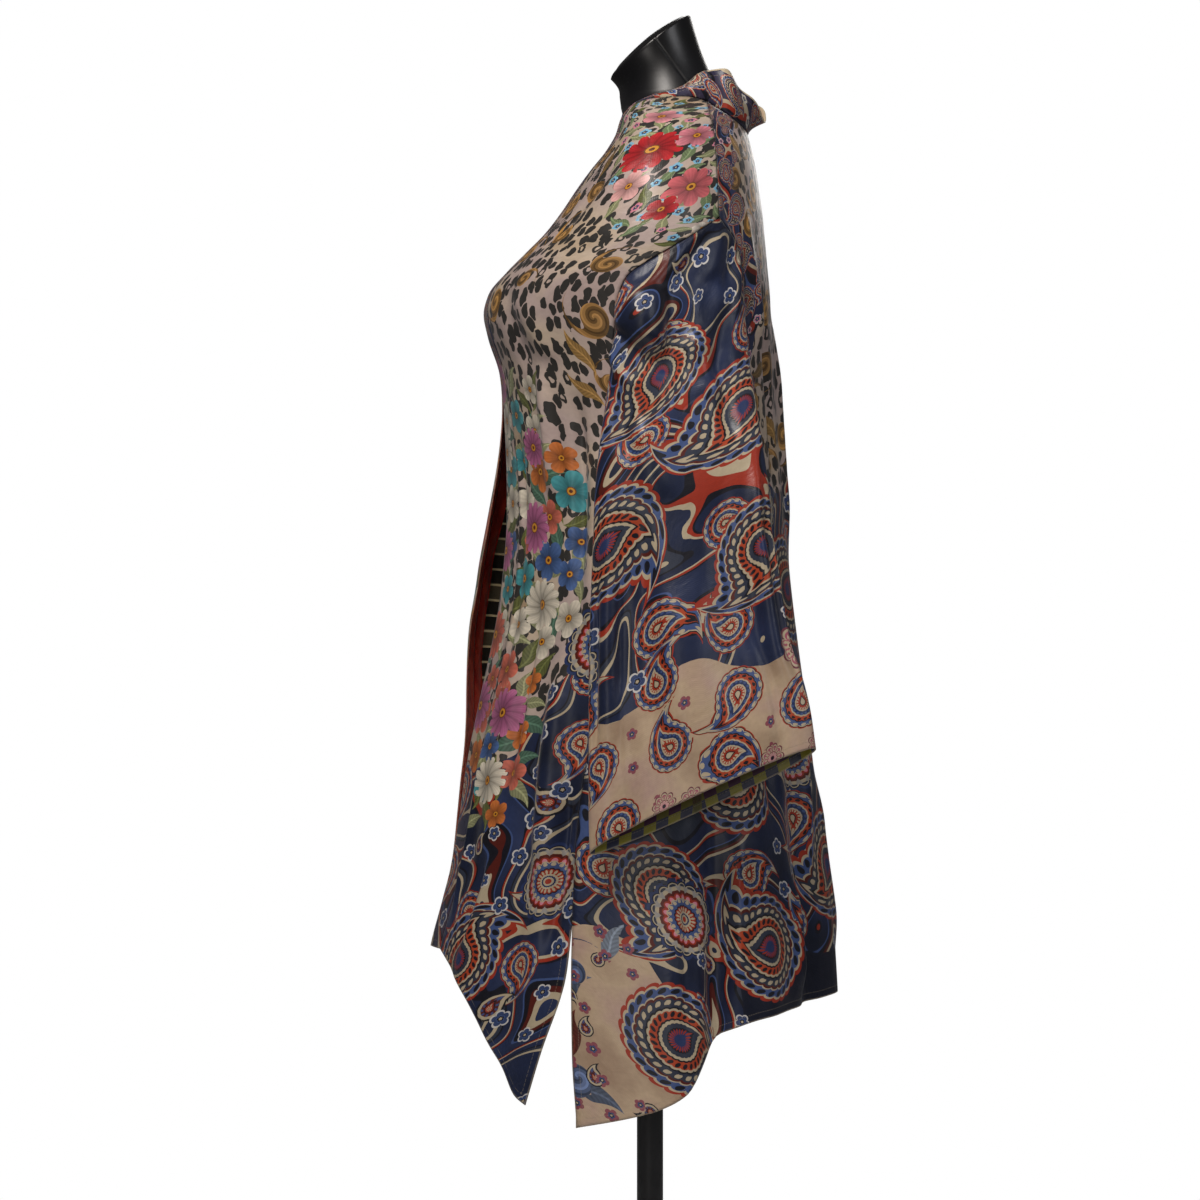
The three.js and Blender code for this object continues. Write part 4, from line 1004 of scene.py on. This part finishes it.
# where the print changes: heights, distances from an edge and widths, in mm
FRONT_LEOPARD_Z, FRONT_SLOPE, STRIP_WIDE, STRIP_LOW_Z, STRIP_HIGH_Z = 742, 0.62, 108, 640, 1100
SHOULDER_PRINT_Z, GOLD_WIDE, GOLD_LOW_Z, GOLD_HIGH_Z = 1236, 105, 1165, 1392
BACK_LEOPARD_Z, BACK_STRIP_WIDE, BACK_STRIP_Z, BACK_GOLD_WIDE = 1012, 34, 1010, 70
DARK_HIGH, DARK_HALF, CORNER_RADIUS, CORNER_Z = 58, 262, 108, 392
RIBBON_Z, BAND_NAVY_Z, CUFF_Z, CUFF_SLOPE, HEMLINE_HIGH = 1122, 700, 752, 0.38, 26
EASE_IN = 14  # from an edge, where the creases reach their depth


def both_layers(values):
    return np.tile(np.ravel(values), 2)


def cloth_piece(node, slot, grid, cut, zones, edge, seam, seed, relief=None,
                extra=(), around=False, flip=False, out_from=(0, 0, 0)):
    """One piece of cloth on its solid's form, with its print, attached to the root in place of its CAD
    node.
    """
    out_from = np.asarray(out_from, float)
    n = normals(grid, out_from, around)
    if relief is not None:
        grid = grid + n * relief[..., None]
        n = normals(grid, out_from, around)
    inner = grid - n * THICK
    made, faces, printed = shell(node + "_silk", grid, inner, around, MATERIALS[slot], flip)
    u, v, edge, seam = (both_layers(values) for values in (*cut, edge, seam))
    count = len(u) // 2
    nothing = np.full(count, NOWHERE)
    fields = [both_layers(zones.get(key, nothing)) / 10 for key in ("leopard", "cream", "dark")]
    is_inner = np.repeat([0.0, 1.0], count)
    for name, values in (
        ("cut", (u * MM, v * MM, 0)), ("zone", fields),
        ("edges", (edge * MM, seam * MM, is_inner)),
    ):
        attribute(made, name, "FLOAT_VECTOR", "POINT", xyz(*values))
    layers = scattered(zones, *cut, seed)
    layers["small"] += list(extra)
    for prefix in ("big", "small"):
        motifs = layers[prefix] or [(1e4, 1e4, 1.0, 0.0, "star", (0, 0, 0), 0)]
        lay_motifs(made, prefix, motifs, faces, printed, u, v)
    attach(made, "root")
    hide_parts(node)


def least(field, *others):
    """The smallest of several fields at each point: it is positive where all of them are."""
    for other in others:
        field = np.minimum(field, other)
    return field


def outside(field, *others):
    """A field without the zones of some others."""
    return least(field, *(-other for other in others))


def edges_and_seams(v, from_side):
    """Distance to the nearest free edge, hem or slit, and to the nearest seam, shoulder or side."""
    slit = np.arange(len(v))[:, None] > SLIT_ROW
    free = least(v - v[-1:], np.where(slit, from_side, FAR))
    return free, least(v[:1] - v, np.where(slit, FAR, from_side))


panels = {0: cloth(*back_panel())}
for side, node in ((1, "front_left"), (-1, "front_right")):
    angle, z = front_panel(side)
    grid = panels[side] = cloth(angle, z)
    u, v = chart(grid, SIDE_ROW, UNDERARM_Z)
    from_band = u[:, -1:] - u
    leopard = z - (FRONT_LEOPARD_Z + FRONT_SLOPE * (from_band - 60)) + 30 * np.sin(from_band / 31)
    strip = least(STRIP_WIDE - from_band - 0.1 * abs(z - 900), STRIP_HIGH_Z - z, z - STRIP_LOW_Z)
    shoulder = least(z - SHOULDER_PRINT_Z + 0.35 * grid[..., 1], grid[..., 1] + 40)
    gold = np.maximum(
        least(z - GOLD_LOW_Z, GOLD_HIGH_Z - z, GOLD_WIDE - from_band),
        least(50 - u, z - 1075, 1225 - z),  # and a patch beside the armhole
    )
    zones = {
        "leopard": leopard, "gold": outside(gold, shoulder), "shoulder": shoulder,
        "flowers": strip, "navy": outside(-leopard, strip),
    }
    edge, seam = edges_and_seams(v, u)
    relief = creased(BODY_CREASES, np.degrees(angle), z, FRONT_DEGREE)
    cloth_piece(
        node, "silk_front", grid, (from_band, v), zones, edge, least(seam, from_band), 11 + side,
        relief=relief * ease(least(u, from_band) / EASE_IN),
        extra=placed(grid, from_band, v, SHOULDER_FLOWERS, side), flip=side < 0,
    )

angle, z = back_panel()
u, v = chart(panels[0], SIDE_ROW, UNDERARM_Z)
from_side = least(u, u[:, -1:] - u)
middle = u - u[:, -1:] / 2
strip = least(BACK_STRIP_WIDE - from_side, z - BACK_STRIP_Z)
leopard = outside(z - (BACK_LEOPARD_Z + 30 * np.sin(middle / 41)), strip)
dark = least(DARK_HIGH - (v - v[-1:]) + 12 * np.sin(middle / 50), DARK_HALF - abs(middle))
cream = CORNER_RADIUS - np.hypot(from_side - 10, (z - CORNER_Z) * 0.72)
zones = {
    "leopard": leopard, "cream": cream, "dark": dark, "ribbon": strip, "corner": cream,
    "navy": outside(-leopard, dark, cream, strip),
    "gold": outside(least(leopard, BACK_GOLD_WIDE - leopard), strip),
}
edge, seam = edges_and_seams(v, from_side)
relief = creased(BODY_CREASES, np.degrees(angle), z, FRONT_DEGREE) * ease(from_side / EASE_IN)
cloth_piece(
    "back_panel", "silk_back", panels[0], (middle, v), zones, edge, seam, 23,
    relief=relief,
)

band = band_grid(panels)
u, v = chart(band, 0, 0)
z = band[..., 2]
ribbon = z - RIBBON_Z
zones = {
    "leopard": outside(z - BAND_NAVY_Z, ribbon), "navy": BAND_NAVY_Z - z,
    "flowers": outside(z - BAND_NAVY_Z + 10, ribbon), "ribbon": ribbon,
}
cloth_piece(
    "neckband", "silk_band", band, (u, v), zones, least(u[:, -1:] - u, -v, v - v[-1:]), u, 37,
    out_from=(0, NECK_AXIS_Y, 900),
)

sleeve, degrees = sleeve_grid()
centre = sleeve.mean(1, keepdims=True)
rows = np.arange(len(sleeve))[:, None]
folds = fold_depth(SLEEVE_FOLDS, degrees, sleeve[..., 2]) * np.clip(rows / ELBOW_STEPS * 9, 0, 1)
sleeve = sleeve + normals(sleeve, centre, True) * folds[..., None]
round_u, v = chart(sleeve, len(sleeve) - 1, 0)
girth = round_u[:, -1:] * SLEEVE_COLUMNS / (SLEEVE_COLUMNS - 1)
u = np.where(round_u > girth / 2, girth - round_u, -round_u)  # + behind, - in front
z, y = sleeve[..., 2], sleeve[..., 1]
cream = CUFF_Z + CUFF_SLOPE * (y + 70) - z + 16 * np.sin(y / 24)
zones = {"cream": cream, "cuff": cream, "hemline": HEMLINE_HIGH - v, "navy": -cream}
relief = 0.66 * creased(SLEEVE_CREASES, degrees, z, SLEEVE_DEGREE) * ease(rows / 8)
for side, node in ((1, "sleeve_left"), (-1, "sleeve_right")):
    cloth_piece(
        node, "silk_sleeve", sleeve * [side, 1, 1], (u, v), zones, v, v[:1] - v, 41 + side,
        relief=relief, around=True, flip=side < 0,
        out_from=centre * [side, 1, 1],
    )

# ---- The dress form ----

turn = np.linspace(0, 2 * np.pi, 240, endpoint=False)
round_x, round_y = np.cos(turn), np.sin(turn)
form_half, form_front, form_back = (curve(FORM, k) for k in (1, 2, 3))
OWN_Z, FITTED_Z = 1276, 1322  # the form has its own rings below, and fits the shoulders above
NECK_BASE = (58, 55, 22.5, 1408)  # half width, half depth, middle's y, z
NECK_TOP = (50, 43, 1)  # half width, half depth, middle's y
NECK_CUT_Z, NECK_WAIST = (1431, 1497), 3
ROLL, DOME = 4, 9  # the cut's rounded edge, and its rise
BEAD_HEIGHT, BEAD_WIDTH = 0.9, 1.4  # of the mould's seam, mm and degrees


def form_ring(z):
    """A ring of the torso: its own below, and inside the cloth at the shoulders."""
    up = cloth(turn, z + 0.5, False) - cloth(turn, z - 0.5, False)
    along = cloth(turn + 0.004, z, False) - cloth(turn - 0.004, z, False)
    fitted = cloth(turn, z, False) - unit(np.cross(along, up)) * REST
    depth = np.where(round_y < 0, form_front(z), form_back(z))
    own = xyz(form_half(z) * round_x, depth * round_y, z)
    return lerp(own, fitted, ease((z - OWN_Z) / (FITTED_Z - OWN_Z)))


def neck_ring(t, inset=0.0, lift=0.0):
    """A ring of the neck, from its base (t 0) to its slanted cut (t 1), or inside the cut."""
    half, deep, middle, base_z = NECK_BASE
    base = xyz(half * round_x, middle + deep * round_y, base_z)
    half, deep, middle = NECK_TOP
    z = lerp(*NECK_CUT_Z, (1 + round_y * (1 - inset / deep)) / 2) - ROLL + lift
    top = xyz((half - inset) * round_x, middle + (deep - inset) * round_y, z)
    out = -NECK_WAIST * np.sin(np.pi * t)
    for seam in (lerp(24, 5, t), 180 - lerp(24, 5, t)):
        out = out - BEAD_HEIGHT * np.exp(-((apart(np.degrees(turn), seam) / BEAD_WIDTH) ** 2))
    return lerp(base, top, t) + xyz(out * round_x, out * round_y, 0)


rings = [
    neck_ring(1, NECK_TOP[1] * q, ROLL + DOME * (1 - (1 - q) ** 2))
    for q in (0.999, 0.8, 0.6, 0.42, 0.28, 0.17)
]
rings += [
    neck_ring(1, ROLL * (1 - math.cos(a)), ROLL * math.sin(a)) for a in (1.5, 1.2, 0.9, 0.6, 0.3)
]
rings += [neck_ring(t) for t in np.linspace(1, 0, 22)]
rings += [xyz(67 * round_x, 26 + 57 * round_y, 1396)]
rings += [form_ring(z) for z in (1391, 1387, 1382, *np.linspace(1376, 716, 110))]
rings += [form_ring(z) for z in (712, 708, 704, 701, 700.3)]
rings = np.array(rings)
rings[-5:, :, :2] *= np.array([0.995, 0.985, 0.965, 0.94, 0.9])[:, None, None]
count = rings[..., 0].size
points = np.concatenate([rings.reshape(-1, 3), [rings[0].mean(0), rings[-1].mean(0)]])
index = grid_index(rings.shape[:2], True)
faces = grid_faces(index)
triangles = np.concatenate([
    faces[:, [0, 1, 2]], faces[:, [0, 2, 3]],
    xyz(count, index[0, :-1], index[0, 1:]), xyz(count + 1, index[-1, 1:], index[-1, :-1]),
])
form = mesh_object("form_shell", points * MM, triangles, gloss_black())
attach(form, "root")
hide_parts("form_torso")

steel = coated_steel()
for node in ("stand_pole", "stand_base"):
    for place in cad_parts[node].material_slots:
        place.material = steel

# ---- Floor, light and camera ----

bpy.ops.mesh.primitive_circle_add(vertices=96, radius=1.25, fill_type="NGON", location=(0, 0, -0.0005))
floor = bpy.context.object
floor.name = "floor"
floor.data.materials.append(Finish("pale_floor").surface({
    "Base Color": (0.8, 0.8, 0.8, 1), "Roughness": 0.9, "Emission Color": (1, 1, 1, 1),
    "Emission Strength": 0.16,
}))

scene = bpy.context.scene
scene.view_settings.view_transform = "Standard"
world = bpy.data.worlds.new("studio")
scene.world = world
world.use_nodes = True
tree = world.node_tree
tree.nodes.clear()


def background(colour, strength):
    node = tree.nodes.new("ShaderNodeBackground")
    node.inputs[0].default_value, node.inputs[1].default_value = (*colour, 1), strength
    return node.outputs[0]


# The camera sees a white backdrop, and the object is lit by a dim warm one.
path = tree.nodes.new("ShaderNodeLightPath")
both = tree.nodes.new("ShaderNodeMixShader")
output = tree.nodes.new("ShaderNodeOutputWorld")
tree.links.new(path.outputs["Is Camera Ray"], both.inputs[0])
tree.links.new(background((1.0, 0.97, 0.95), 0.06), both.inputs[1])
tree.links.new(background((1, 1, 1), 1.0), both.inputs[2])
tree.links.new(both.outputs[0], output.inputs[0])


def softbox(name, place, aim, size, power, colour):
    data = bpy.data.lights.new(name, "AREA")
    data.shape, data.size, data.size_y = "RECTANGLE", size[0], size[1]
    data.energy, data.color = power, colour
    light = bpy.data.objects.new(name, data)
    scene.collection.objects.link(light)
    light.location = place
    light.rotation_mode = "QUATERNION"
    light.rotation_quaternion = Vector(np.subtract(place, aim)).to_track_quat("Z", "Y")


softbox("key", (1.35, -0.45, 2.75), (0.1, 0, 1.3), (0.8, 0.8), 41, (1.0, 0.94, 0.88))
softbox("front", (4.0, -0.9, 1.0), (0, -0.1, 0.95), (0.9, 1.2), 13, (1.0, 0.95, 0.9))
softbox("side", (1.7, 2.6, 2.4), (0, 0.1, 1.25), (1.0, 1.4), 18, (0.97, 0.97, 1.0))
softbox("rear", (-3.2, 0.6, 2.4), (0, 0, 1.0), (1.6, 1.6), 36, (1.0, 0.98, 0.95))

SENSOR, AWAY, SPAN = 36, 4.2, 1.284  # mm; the camera's distance and the view's width there, m
camera = bpy.data.objects.new("camera", bpy.data.cameras.new("camera"))
scene.collection.objects.link(camera)
camera.data.lens = SENSOR * AWAY / SPAN
camera.location = (AWAY, -0.0535, 0.8699)
camera.rotation_euler = (math.pi / 2, 0, math.pi / 2)
camera.data.clip_end = 60
scene.camera = camera
